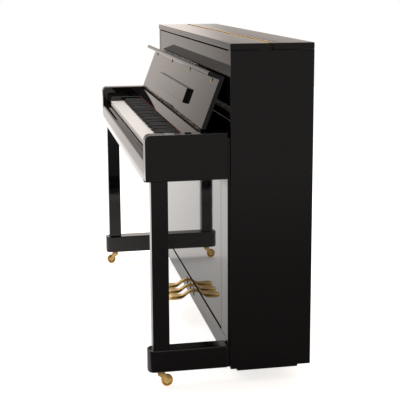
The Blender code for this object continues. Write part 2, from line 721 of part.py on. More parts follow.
# ---- assembly ------------------------------------------------------------------------
def build():
    clear_scene()
    parts = new_collection("upright_piano")
    cutters = new_collection("cutters")
    side_panels(parts)
    battens(parts, cutters)
    arms(parts)
    legs(parts)
    toes(parts)
    lower_case(parts, cutters)
    bottom_board(parts, cutters)
    upper_panel(parts)
    lid(parts, cutters)
    keybed(parts)
    key_slip(parts)
    key_frame(parts)
    cheek_blocks(parts)
    key_block("keys_bass", 0, 22, parts, cutters)
    middle_octave(parts)
    key_block("keys_treble", 30, WHITE_COUNT - 1, parts, cutters)
    fall_strip(parts)
    name_felt(parts)
    fallboard(parts)
    fallboard_hinge(parts, cutters)
    music_desk(parts)
    back_frame(parts, cutters)
    strung_back(parts, cutters)
    action(parts, cutters)
    pedals(parts)
    sustain_rod(parts)
    muffler_rail(parts)
    casters(parts, cutters)


build()
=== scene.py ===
"""Console upright piano with its fallboard open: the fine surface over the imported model.

The file is laid out as an add-on.  Its sidebar panel lists one operator for each group of
pieces, and run as a script it makes the whole piano.  X runs along the keyboard to the
treble end, the player sits at -Y, Z is up, and every length is in metres.
"""
import json
import math

import bmesh
import bpy
from bpy.props import FloatProperty, FloatVectorProperty, PointerProperty
from mathutils import Matrix, Vector


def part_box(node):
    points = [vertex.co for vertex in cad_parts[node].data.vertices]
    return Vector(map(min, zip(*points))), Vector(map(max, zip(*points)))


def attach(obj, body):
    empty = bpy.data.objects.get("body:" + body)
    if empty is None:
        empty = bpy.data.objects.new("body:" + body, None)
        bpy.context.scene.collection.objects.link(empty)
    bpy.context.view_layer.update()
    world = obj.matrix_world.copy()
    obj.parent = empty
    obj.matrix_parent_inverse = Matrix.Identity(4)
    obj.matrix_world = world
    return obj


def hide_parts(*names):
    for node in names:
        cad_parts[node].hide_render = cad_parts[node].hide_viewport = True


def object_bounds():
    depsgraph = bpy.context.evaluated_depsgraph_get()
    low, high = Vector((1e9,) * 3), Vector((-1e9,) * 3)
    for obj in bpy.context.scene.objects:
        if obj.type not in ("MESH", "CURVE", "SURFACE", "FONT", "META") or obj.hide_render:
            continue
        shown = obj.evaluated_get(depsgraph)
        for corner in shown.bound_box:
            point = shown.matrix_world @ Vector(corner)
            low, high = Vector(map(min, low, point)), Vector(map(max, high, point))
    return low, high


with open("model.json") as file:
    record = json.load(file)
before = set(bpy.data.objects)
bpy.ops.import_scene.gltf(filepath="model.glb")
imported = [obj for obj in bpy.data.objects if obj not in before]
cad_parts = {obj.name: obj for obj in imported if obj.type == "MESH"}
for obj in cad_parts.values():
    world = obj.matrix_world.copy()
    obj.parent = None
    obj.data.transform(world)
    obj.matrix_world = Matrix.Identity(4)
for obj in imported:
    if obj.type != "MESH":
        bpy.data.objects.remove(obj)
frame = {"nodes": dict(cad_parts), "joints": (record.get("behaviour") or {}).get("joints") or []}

bl_info = {
    "name": "Console Upright Piano",
    "version": (1, 0, 0),
    "blender": (4, 5, 0),
    "location": "3D View > Sidebar > Piano",
    "description": "Makes the case, keyboard, fallboard, pedals, casters and insides of a piano",
    "category": "Object",
}

CAD_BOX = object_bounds()

WHITE_STEPS = (0, 2, 4, 5, 7, 9, 11)
NOTE_NAMES = ("c", "c_sharp", "d", "d_sharp", "e", "f",
              "f_sharp", "g", "g_sharp", "a", "a_sharp", "b")
WHITE_COUNT = 52
FIRST_C = 2             # white keys below the lowest C
MIDDLE_C = 23           # white keys below the middle octave
SIDES = ("left", "right")


# ---- settings --------------------------------------------------------------------------
def colour_setting(label, says, default):
    return FloatVectorProperty(name=label, description=says, subtype="COLOR", size=3,
                               min=0.0, max=1.0, default=default)


def length_setting(label, says, default):
    return FloatProperty(name=label, description=says, unit="LENGTH", min=0.0, default=default,
                         precision=5)


class PianoFinishes(bpy.types.PropertyGroup):
    """Colours of the piano's materials."""
    lacquer: colour_setting("Lacquer", "Polished polyester on the case", (0.0046, 0.0040, 0.0039))
    brass: colour_setting("Brass", "Pedals, casters and hinges", (1.0, 0.84, 0.54))
    brass_shade: colour_setting("Brass shade", "Darker, handled brass", (0.72, 0.50, 0.24))
    key_white: colour_setting("White keys", "Acrylic covering of the white keys", (0.86, 0.84, 0.81))
    key_black: colour_setting("Black keys", "Matt covering of the black keys", (0.007, 0.0065, 0.0065))
    # The red felt is darkened far below the felt's own red: painted shade for the shadow it lies in.
    red_felt: colour_setting("Red felt", "Felt strip behind the keys", (0.050, 0.006, 0.009))
    white_felt: colour_setting("White felt", "Hammer and muffler felt", (0.80, 0.77, 0.69))
    beech: colour_setting("Beech", "Posts, rails and action parts", (0.47, 0.29, 0.15))
    spruce: colour_setting("Spruce", "Soundboard and its ribs", (0.60, 0.38, 0.18))
    iron: colour_setting("Plate", "Bronze lacquer on the iron plate", (0.50, 0.34, 0.12))
    copper: colour_setting("Copper", "Winding of the bass strings", (0.68, 0.30, 0.15))
    steel: colour_setting("Steel", "Plain strings, pins and screws", (0.62, 0.61, 0.60))


class PianoSizes(bpy.types.PropertyGroup):
    """Small dimensions that the frame doesn't hold."""
    edge: length_setting("Case edge", "Radius of a lacquered board's edges", 0.0018)
    key_gap: length_setting("Key gap", "Space between two keys", 0.0013)
    key_lip: length_setting("Key lip", "How far a white key's covering stands past its front", 0.0016)
    knuckle: length_setting("Hinge knuckle", "Length of one knuckle of a long hinge", 0.0120)
    button: length_setting("Button", "Radius of the fallboard's brass buttons", 0.0072)
    rib: length_setting("Rib", "Width of a soundboard rib", 0.022)


class PianoStudio(bpy.types.PropertyGroup):
    """Camera, lamps and surroundings."""
    camera_place: FloatVectorProperty(name="Camera place", description="Where the camera stands",
                                      subtype="TRANSLATION", unit="LENGTH", size=3,
                                      default=(3.6122, -0.6325, 1.2652))
    camera_turn: FloatVectorProperty(name="Camera turn", description="Tilt, roll and heading",
                                     subtype="EULER", size=3,
                                     default=(math.radians(79.726), math.radians(0.344),
                                              math.radians(79.336)))
    lens: FloatProperty(name="Lens", description="Focal length of the camera", unit="CAMERA",
                        default=87.04, min=1.0)
    shift: FloatProperty(name="Shift", description="Upward shift of the lens", default=-0.1)
    lamp_power: FloatProperty(name="Lamp power", description="Power of the large overhead lamp",
                              unit="POWER", default=58.0, min=0.0)
    bright_side: colour_setting("Bright side", "Surroundings at the bass end", (0.93, 0.84, 0.78))
    dark_side: colour_setting("Dark side", "Surroundings at the treble end", (0.31, 0.285, 0.275))


def settings():
    return bpy.context.scene.piano_finishes, bpy.context.scene.piano_sizes, \
        bpy.context.scene.piano_studio


# ---- shader nodes ------------------------------------------------------------------------
class Value:
    """A number socket that takes part in ordinary arithmetic, one Math node a step."""

    def __init__(self, nodes, socket):
        self.nodes = nodes
        self.socket = socket

    def step(self, operation, first, second):
        return self.nodes.node("Math", {"operation": operation}, {0: first, 1: second})

    def __add__(self, other):
        return self.step("ADD", self, other)

    def __radd__(self, other):
        return self.step("ADD", other, self)

    def __sub__(self, other):
        return self.step("SUBTRACT", self, other)

    def __rsub__(self, other):
        return self.step("SUBTRACT", other, self)

    def __mul__(self, other):
        return self.step("MULTIPLY", self, other)

    def __rmul__(self, other):
        return self.step("MULTIPLY", other, self)


class Nodes:
    """A node tree that is being written."""

    def __init__(self, tree):
        self.tree = tree

    def join(self, value, socket):
        if isinstance(value, Value):
            self.tree.links.new(value.socket, socket)
        elif socket.type == "RGBA":
            socket.default_value = (*value[:3], 1.0)
        else:
            socket.default_value = value

    def node(self, kind, options=None, sockets=None, output=0):
        """Add a node: its options first, then the value or link of each named socket."""
        new = self.tree.nodes.new("ShaderNode" + kind)
        for name, value in (options or {}).items():
            setattr(new, name, value)
        usable = [s for s in new.inputs if s.enabled]
        for name, value in (sockets or {}).items():
            found = usable[name] if isinstance(name, int) else \
                next(s for s in usable if s.name == name)
            self.join(value, found)
        if isinstance(output, str):
            return Value(self, new.outputs[output])
        return Value(self, [s for s in new.outputs if s.enabled][output])

    def end(self, kind, shader):
        """Send a shader to the tree's output."""
        output = next((n for n in self.tree.nodes if n.bl_idname == f"ShaderNodeOutput{kind}"), None)
        output = output or self.tree.nodes.new(f"ShaderNodeOutput{kind}")
        self.tree.links.new(shader.socket, output.inputs["Surface"])

    def blend(self, share, first, second):
        """One colour passing into another."""
        return self.node("Mix", {"data_type": "RGBA"}, {"Factor": share, "A": first, "B": second})

    def scaled(self, colour, amount):
        """A colour made lighter or darker by a number."""
        return self.node("VectorMath", {"operation": "SCALE"}, {"Vector": colour, "Scale": amount})

    def place(self, stretch=(1.0, 1.0, 1.0), turn=(0.0, 0.0, 0.0)):
        """The piece's own coordinates in metres, stretched for a grain or a weave."""
        own = self.node("TexCoord", output="Object")
        if turn != (0.0, 0.0, 0.0):
            own = self.node("Mapping", {}, {"Vector": own, "Rotation": turn})
        if stretch != (1.0, 1.0, 1.0):
            own = self.node("Mapping", {}, {"Vector": own, "Scale": stretch})
        return own

    def noise(self, where, scale, detail=2.0, rough=0.5):
        return self.node("TexNoise", {}, {"Vector": where, "Scale": scale, "Detail": detail,
                                          "Roughness": rough}, "Fac")

    def between(self, value, low, high, start=0.0, end=1.0):
        """Carry the range low..high onto start..end and stop there."""
        return self.node("MapRange", {"interpolation_type": "SMOOTHSTEP"},
                         {"Value": value, "From Min": low, "From Max": high,
                          "To Min": start, "To Max": end})


class Finish(Nodes):
    """A material: constant sockets are set here, and patterns are fed in later."""

    def __init__(self, name, **fixed):
        self.material = bpy.data.materials.new(name)
        self.material.use_nodes = True
        super().__init__(self.material.node_tree)
        self.shader = self.tree.nodes["Principled BSDF"]
        for label, value in fixed.items():
            self.feed(label.replace("_", " "), value)

    def feed(self, socket, value):
        self.join(value, self.shader.inputs[socket])

    def bump(self, height, depth, strength=1.0):
        """Depth is the real height in metres of the pattern's full range."""
        self.feed("Normal", self.node("Bump", {}, {"Height": height, "Distance": depth,
                                                   "Strength": strength}))


def lacquer():
    """Mirror-polished polyester, with the faint unevenness of a hand-buffed surface."""
    colour = settings()[0].lacquer
    made = Finish("lacquer", IOR=1.52)
    haze = made.noise(made.place(), 2.2, 3.0)
    buffing = made.noise(made.place((1.0, 1.0, 0.25)), 45.0, 2.0)
    made.feed("Base Color", made.scaled(colour, 0.85 + 0.3 * haze))
    made.feed("Roughness", 0.012 + 0.020 * made.between(haze, 0.35, 0.75) + 0.012 * buffing)
    made.bump(made.noise(made.place(), 9.0, 1.0), 0.00006, 0.35)
    return made.material


def black_stain():
    """Satin black on parts that are seldom seen, with the wood's grain under it. On the beech key frame it
    is painted shade, so the gap behind the slip reads dark.
    """
    made = Finish("black_stain", IOR=1.5)
    grain = made.noise(made.place((0.06, 1.0, 1.0)), 420.0, 4.0)
    made.feed("Base Color", made.blend(grain, (0.006, 0.006, 0.006), (0.018, 0.017, 0.016)))
    made.feed("Roughness", 0.38 + 0.2 * grain)
    made.bump(grain, 0.0002, 0.4)
    return made.material


def brass():
    """Polished brass that has been handled: warmer and duller in soft clouds."""
    tones = settings()[0]
    made = Finish("brass", Metallic=1.0)
    cloud = made.between(made.noise(made.place(), 55.0, 3.0), 0.40, 0.72)
    hairlines = made.noise(made.place((1.0, 0.05, 1.0)), 900.0, 2.0)
    made.feed("Base Color", made.blend(0.40 * cloud, tones.brass, tones.brass_shade))
    made.feed("Roughness", 0.025 + 0.06 * cloud + 0.02 * hairlines)
    made.bump(hairlines, 0.00001, 0.2)
    return made.material


def aged_brass():
    """Hinge brass, dulled to brown in the gaps between polished patches."""
    tones = settings()[0]
    made = Finish("aged_brass", Metallic=1.0)
    patch = made.between(made.noise(made.place(), 130.0, 3.0, 0.6), 0.52, 0.68)
    made.feed("Base Color", made.blend(patch, (0.035, 0.022, 0.011), [c * 0.80 for c in tones.brass]))
    made.feed("Roughness", 0.42 - 0.2 * patch)
    made.bump(patch, 0.00004, 0.4)
    return made.material


def key_white():
    """Acrylic key covering: nearly even, with a satin wear where fingers land."""
    colour = settings()[0].key_white
    made = Finish("key_white", IOR=1.49)
    wear = made.noise(made.place((1.0, 0.5, 1.0)), 70.0, 3.0)
    speck = made.noise(made.place(), 900.0, 1.0)
    made.feed("Base Color", made.scaled(colour, 0.965 + 0.05 * wear))
    made.feed("Roughness", 0.13 + 0.14 * wear)
    made.bump(speck, 0.00001, 0.3)
    return made.material


def key_black():
    """Fine-grained black key tops, matt with a slight polish along the top."""
    colour = settings()[0].key_black
    made = Finish("key_black", IOR=1.5, Specular_IOR_Level=0.20)
    grain = made.noise(made.place((1.0, 0.05, 1.0)), 1300.0, 3.0)
    polish = made.noise(made.place(), 60.0, 2.0)
    made.feed("Base Color", made.scaled(colour, 0.7 + 0.7 * grain))
    made.feed("Roughness", 0.06 + 0.08 * polish + 0.04 * grain)
    made.bump(grain, 0.00003, 0.2)
    return made.material


def felt(name, shade):
    """Pressed wool: tangled fibres, with a soft sheen at grazing angles."""
    colour = getattr(settings()[0], name)
    made = Finish(name, Sheen_Weight=0.35, Sheen_Roughness=0.45, Specular_IOR_Level=0.15)
    fibre = made.noise(made.place(), 1400.0, 4.0, 0.65)
    clump = made.noise(made.place(), 120.0, 3.0)
    tone = made.blend(made.between(fibre, 0.3, 0.7), [c * shade for c in colour], colour)
    made.feed("Base Color", made.scaled(tone, 0.82 + 0.36 * clump))
    made.feed("Roughness", 0.88 + 0.1 * fibre)
    made.bump(fibre + 0.6 * clump, 0.0005, 0.6)
    return made.material


def beech(name, stretch):
    """Pinkish-brown wood with short ray flecks along the grain."""
    colour = settings()[0].beech
    made = Finish(name, IOR=1.45)
    along = made.place(stretch)
    growth = made.noise(along, 55.0, 4.0, 0.6)
    fleck = made.between(made.noise(along, 420.0, 1.0), 0.60, 0.72)
    tone = made.blend(made.between(growth, 0.32, 0.70), [c * 0.72 for c in colour],
                      [min(1.0, c * 1.25) for c in colour])
    made.feed("Base Color", made.blend(0.35 * fleck, tone, [c * 0.45 for c in colour]))
    made.feed("Roughness", 0.42 + 0.2 * growth + 0.1 * fleck)
    made.bump(growth - 0.4 * fleck, 0.0003, 0.35)
    return made.material


def spruce(name, turn):
    """Straight close growth rings, dark late wood between wide pale bands."""
    colour = settings()[0].spruce
    made = Finish(name, IOR=1.47)
    along = made.place((0.05, 1.0, 1.0), (0.0, math.radians(turn), 0.0))
    rings = made.noise(along, 320.0, 2.0, 0.4)
    late = made.between(rings, 0.52, 0.66)
    board = made.noise(made.place((0.02, 0.02, 1.0), (0.0, math.radians(turn), 0.0)), 14.0, 1.0)
    tone = made.blend(late, [min(1.0, c * 1.12) for c in colour], [c * 0.62 for c in colour])
    made.feed("Base Color", made.scaled(tone, 0.8 + 0.4 * board))
    made.feed("Roughness", 0.30 + 0.15 * rings)
    made.bump(rings, 0.00015, 0.4)
    return made.material


def plate_bronze():
    """Bronze-coloured lacquer over sand-cast iron."""
    colour = settings()[0].iron
    made = Finish("plate_bronze", Metallic=0.75, IOR=1.5)
    sand = made.noise(made.place(), 380.0, 3.0)
    drift = made.noise(made.place(), 9.0, 3.0)
    made.feed("Base Color", made.scaled(colour, 0.75 + 0.5 * drift))
    made.feed("Roughness", 0.32 + 0.2 * sand)
    made.bump(sand, 0.0004, 0.35)
    return made.material


def wire(name, metal, rough):
    """Drawn or wound wire, brighter and duller along its length."""
    colour = getattr(settings()[0], metal)
    made = Finish(name, Metallic=1.0)
    turns = made.noise(made.place((1.0, 1.0, 6.0)), 300.0, 1.0)
    made.feed("Base Color", made.scaled(colour, 0.75 + 0.4 * turns))
    made.feed("Roughness", rough + 0.12 * turns)
    return made.material


MAKERS = {      # name: function, its arguments, slot in the record
    "lacquer": (lacquer, (), "black_lacquer"),
    "black_stain": (black_stain, (), "black_lacquer"),
    "brass": (brass, (), "brass"),
    "aged_brass": (aged_brass, (), "brass"),
    "key_white": (key_white, (), "key_white"),
    "key_black": (key_black, (), "key_black"),
    "red_felt": (felt, ("red_felt", 0.5), "red_felt"),
    "white_felt": (felt, ("white_felt", 0.8), "white_felt"),
    "beech_along_x": (beech, ("beech_along_x", (0.06, 1.0, 1.0)), "beech"),
    "beech_along_z": (beech, ("beech_along_z", (1.0, 1.0, 0.06)), "beech"),
    "spruce_board": (spruce, ("spruce_board", -45.0), "spruce"),
    "spruce_ribs": (spruce, ("spruce_ribs", 45.0), "spruce"),
    "plate_bronze": (plate_bronze, (), "gold_iron"),
    "copper_wire": (wire, ("copper_wire", "copper", 0.30), "brass"),
    "steel_wire": (wire, ("steel_wire", "steel", 0.22), "brass"),
}


def finish(name):
    """The material of that name, made the first time it is asked for."""
    maker, arguments = MAKERS[name][:2]
    return bpy.data.materials.get(name) or maker(*arguments)


# ---- meshes ------------------------------------------------------------------------------
def low_high(node):
    """A node's lowest and highest corner, as two plain lists."""
    low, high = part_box(node)
    return list(low), list(high)


def add_box(bm, low, high):
    size = [b - a for a, b in zip(low, high)]
    middle = [(a + b) / 2 for a, b in zip(low, high)]
    bmesh.ops.create_cube(bm, size=1.0,
                          matrix=Matrix.Translation(middle) @ Matrix.Diagonal((*size, 1.0)))


def add_rod(bm, start, end, radius, sides=16, tip=None):
    """A straight rod between two points; tip is the radius at its far end."""
    start, end = Vector(start), Vector(end)
    along = end - start
    turn = along.to_track_quat("Z", "Y").to_matrix().to_4x4()
    bmesh.ops.create_cone(bm, cap_ends=True, segments=sides, radius1=radius,
                          radius2=radius if tip is None else tip, depth=along.length,
                          matrix=Matrix.Translation((start + end) / 2) @ turn)


def add_prism(bm, outline, axis, low, high):
    """Carry a closed outline along an axis. The outline's two numbers are the other two axes."""
    def point(u, v, w):
        return {"X": (w, u, v), "Y": (u, w, v), "Z": (u, v, w)}[axis]
    first = [bm.verts.new(point(u, v, low)) for u, v in outline]
    last = [bm.verts.new(point(u, v, high)) for u, v in outline]
    faces = [bm.faces.new(first), bm.faces.new(last)]
    for i in range(len(outline)):
        j = (i + 1) % len(outline)
        faces.append(bm.faces.new((first[i], first[j], last[j], last[i])))
    bmesh.ops.recalc_face_normals(bm, faces=faces)


def add_turned(bm, profile, centre, axis, steps=32):
    """Spin (radius, distance along the axis) pairs; an end on the axis is closed there."""
    turn = {"X": Matrix.Rotation(math.pi / 2, 3, "Y"), "Y": Matrix.Rotation(-math.pi / 2, 3, "X"),
            "Z": Matrix.Identity(3)}[axis]
    centre = Vector(centre)
    rings = []
    for radius, along in profile:
        if radius == 0.0:
            rings.append([bm.verts.new(centre + turn @ Vector((0.0, 0.0, along)))])
            continue
        angles = [2 * math.pi * i / steps for i in range(steps)]
        rings.append([bm.verts.new(centre + turn @ Vector((radius * math.cos(a),
                                                           radius * math.sin(a), along)))
                      for a in angles])
    bridge_rings(bm, rings, closed=profile[0][0] > 0.0 and profile[-1][0] > 0.0)


def bridge_rings(bm, rings, closed=False):
    """Skin a row of rings. A ring of one point is a tip, and closed joins last to first."""
    faces = []
    pairs = list(zip(rings, rings[1:])) + ([(rings[-1], rings[0])] if closed else [])
    for ring, after in pairs:
        count = max(len(ring), len(after))
        for i in range(count):
            j = (i + 1) % count
            around = [ring[i % len(ring)], ring[j % len(ring)],
                      after[j % len(after)], after[i % len(after)]]
            faces.append(bm.faces.new(list(dict.fromkeys(around))))
    bmesh.ops.recalc_face_normals(bm, faces=faces)


def rounded(corners, steps=5):
    """An outline from corners (u, v, radius), each radius drawn as an arc."""
    points = []
    for i, (u, v, radius) in enumerate(corners):
        here = Vector((u, v))
        if radius == 0.0:
            points.append((u, v))
            continue
        back = (Vector(corners[i - 1][:2]) - here).normalized()
        ahead = (Vector(corners[(i + 1) % len(corners)][:2]) - here).normalized()
        half = back.angle(ahead) / 2
        reach = radius / math.tan(half)
        centre = here + (back + ahead).normalized() * (radius / math.sin(half))
        start = here + back * reach - centre
        sweep = start.angle_signed(here + ahead * reach - centre)
        for step in range(steps + 1):
            turned = start.copy()
            turned.rotate(Matrix.Rotation(-sweep * step / steps, 2))
            points.append(tuple(centre + turned))
    return points


def piece(name, bm, material, body="case", instead_of=(), edge=0.0, segments=3, smooth=30.0):
    """Turn a bmesh into a piece of the piano that rides on a body."""
    mesh = bpy.data.meshes.new(name)
    bm.to_mesh(mesh)
    bm.free()
    mesh.materials.append(finish(material))
    made = bpy.data.objects.new(name, mesh)
    bpy.context.scene.collection.objects.link(made)
    mesh.shade_smooth()
    if edge > 0.0:
        bevel = made.modifiers.new("edge", "BEVEL")
        bevel.width = edge
        bevel.segments = segments
        bevel.limit_method = "ANGLE"
        bevel.angle_limit = math.radians(smooth)
        bevel.harden_normals = True
    else:
        mesh.set_sharp_from_angle(angle=math.radians(smooth))
    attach(made, body)
    if instead_of:
        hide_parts(*instead_of)
    return made


def prism(name, outline, axis, low, high, material, *looks, place=None, **more):
    """An outline carried along an axis, as a piece of its own."""
    bm = bmesh.new()
    add_prism(bm, outline, axis, low, high)
    if place:
        bm.transform(place)
    return piece(name, bm, material, *looks, **more)


def board(name, low, high, material, body="case", instead_of=(), edge=None):
    """A straight board with rounded edges."""
    bm = bmesh.new()
    add_box(bm, low, high)
    return piece(name, bm, material, body, instead_of, settings()[1].edge if edge is None else edge)


def board_for(node, material, body="case", edge=None):
    """A rounded board that takes the place of a plain one."""
    low, high = low_high(node)
    return board("fine_" + node, low, high, material, body, (node,), edge)


def refinish(node, material):
    """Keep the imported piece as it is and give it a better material."""
    slots = frame["nodes"][node].data.materials
    slots.clear()
    slots.append(finish(material))
    frame["nodes"][node].data.shade_smooth()
    frame["nodes"][node].data.set_sharp_from_angle(angle=math.radians(30))


class Maker(bpy.types.Operator):
    """Shared by the operators: each one makes its pieces once, in the open scene."""
    bl_options = {"REGISTER", "UNDO"}

    def execute(self, context):
        self.make()
        return {"FINISHED"}


# ---- case --------------------------------------------------------------------------------
SKID_STEP = 0.0064      # how far the skid under a side panel stands down
SKID_REACH = (0.020, 0.2215)
ARM_RADIUS = 0.018
TOE_RADIUS = 0.022


class PIANO_OT_case(Maker):
    """Side panels, arms, legs, toes and the panels between them"""
    bl_idname = "piano.case"
    bl_label = "Case"

    def side_panel(self, side):
        node = "side_panel_" + side
        low, high = low_high(node)
        foot = low[2] + SKID_STEP
        start, end = SKID_REACH
        outline = [(low[1], foot), (start, foot), (start + 0.0015, low[2]), (end, low[2]),
                   (end + 0.0015, foot), (high[1], foot), (high[1], high[2]), (low[1], high[2])]
        prism("fine_" + node, outline, "X", low[0], high[0],
              "lacquer", instead_of=(node,), edge=settings()[1].edge)

    def arm(self, side):
        node = "arm_" + side
        low, high = low_high(node)
        outline = rounded([(low[1], low[2], 0.003), (high[1], low[2], 0.0), (high[1], high[2], 0.0),
                           (low[1], high[2], ARM_RADIUS)], 10)
        prism("fine_" + node, outline, "X", low[0], high[0],
              "lacquer", instead_of=(node,), edge=0.0022, smooth=40)

    def toe(self, side):
        node = "toe_" + side
        low, high = low_high(node)
        outline = rounded([(low[0], low[1], TOE_RADIUS), (high[0], low[1], TOE_RADIUS),
                           (high[0], high[1], 0.0), (low[0], high[1], 0.0)], 12)
        prism("fine_" + node, outline, "Z", low[2], high[2],
              "lacquer", instead_of=(node,), edge=0.0045, segments=4, smooth=40)

    def batten(self, side):
        """Upright behind the arm; below the keybed it widens into the lower panel's stile."""
        node = "side_batten_" + side
        low, high = low_high(node)
        sign = 1 if side == "right" else -1
        inner, outer = sorted((abs(low[0]), abs(high[0])))
        neck = abs(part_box("arm_right")[0].x)
        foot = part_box("plinth_rail")[1].z + 0.0003
        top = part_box("keybed")[0].z - 0.0003
        outline = [(neck, low[2]), (outer, low[2]), (outer, high[2]), (neck, high[2]),
                   (neck, top), (inner, top), (inner, foot), (neck, foot)]
        prism("fine_" + node, [(sign * x, z) for x, z in outline], "Y", low[1], high[1],
              "lacquer", instead_of=(node,), edge=0.0010)

    def make(self):
        for side in SIDES:
            self.side_panel(side)
            self.arm(side)
            self.toe(side)
            board_for("leg_" + side, "lacquer", edge=0.0015)
            self.batten(side)
        board_for("lower_panel", "lacquer")
        board_for("upper_panel", "lacquer")
        refinish("plinth_rail", "lacquer")
        board_for("keybed", "black_stain", edge=0.0010)
        refinish("bottom_board", "black_stain")


# ---- lid ---------------------------------------------------------------------------------
def long_hinge(name, axis_point, radius, half, bodies, gap, material):
    """A continuous hinge: knuckles that belong to the two bodies in turn, on one pin."""
    pitch = settings()[1].knuckle
    count = int(2 * half / pitch)
    start = -count * pitch / 2
    y, z = axis_point
    barrel = [(0.0, 0.0), (radius * 0.80, 0.0), (radius, radius * 0.25),
              (radius, pitch - gap - radius * 0.25), (radius * 0.80, pitch - gap),
              (0.0, pitch - gap)]
    for turn, body in enumerate(bodies):
        bm = bmesh.new()
        for i in range(turn, count, 2):
            add_turned(bm, barrel, (start + i * pitch, y, z), "X", 12)
        piece(f"{name}_knuckles_{body}", bm, material, body, smooth=40)


class PIANO_OT_lid(Maker):
    """Two leaves of the lid and the brass hinge between them"""
    bl_idname = "piano.lid"
    bl_label = "Lid"

    def leaf(self, node, body):
        """A board whose long top edges are rounder than the ones underneath."""
        low, high = low_high(node)
        outline = rounded([(low[1], low[2], 0.0012), (high[1], low[2], 0.0012),
                           (high[1], high[2], 0.0030), (low[1], high[2], 0.0030)], 6)
        prism("fine_" + node, outline, "X", low[0], high[0], "lacquer", body, (node,), 0.0015, smooth=50)

    def make(self):
        self.leaf("lid_rear", "case")
        self.leaf("lid_front", "lid")
        low, high = low_high("lid_hinge")
        y = (low[1] + high[1]) / 2
        radius = (high[1] - low[1]) / 2
        axis_z = high[2] - radius
        long_hinge("lid_hinge", (y, axis_z), 0.6 * radius, high[0], ("case", "lid"), 0.0012, "brass")
        board("lid_hinge_web", (low[0], y - 0.0008, low[2]), (high[0], y + 0.0008, axis_z - 0.0004),
              "aged_brass", "case", ("lid_hinge",), 0.0003)


# ---- keyboard ----------------------------------------------------------------------------
def key_pitch():
    bass_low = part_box("keys_bass")[0].x
    treble_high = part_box("keys_treble")[1].x
    return (treble_high - bass_low + settings()[1].key_gap) / WHITE_COUNT


def white_start(index):
    """X of the left side of a white key's space, counted from the lowest key."""
    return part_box("keys_bass")[0].x - settings()[1].key_gap / 2 + index * key_pitch()


def sharp_centre(octave_first, step):
    """X of the middle of a black key, in the twelve nearly even spaces behind an octave."""
    left = white_start(octave_first)
    if step < 5:
        return left + (step + 0.5) * 3 * key_pitch() / 5
    return left + (3 + (step - 4.5) * 4 / 7) * key_pitch()


def is_white(step):
    return step in WHITE_STEPS


def white_keys_and_steps():
    """Each white key's index, the index of its octave's C, and its place in the octave."""
    for index in range(WHITE_COUNT):
        within = (index - FIRST_C) % 7
        yield index, index - within, WHITE_STEPS[within]


def sharps():
    """Each black key's octave and place, from the lowest A sharp to the highest."""
    for octave_first in range(FIRST_C - 7, WHITE_COUNT - 1, 7):
        for step in (1, 3, 6, 8, 10):
            beyond = white_start(0) < sharp_centre(octave_first, step) < white_start(WHITE_COUNT)
            if beyond:
                yield octave_first, step


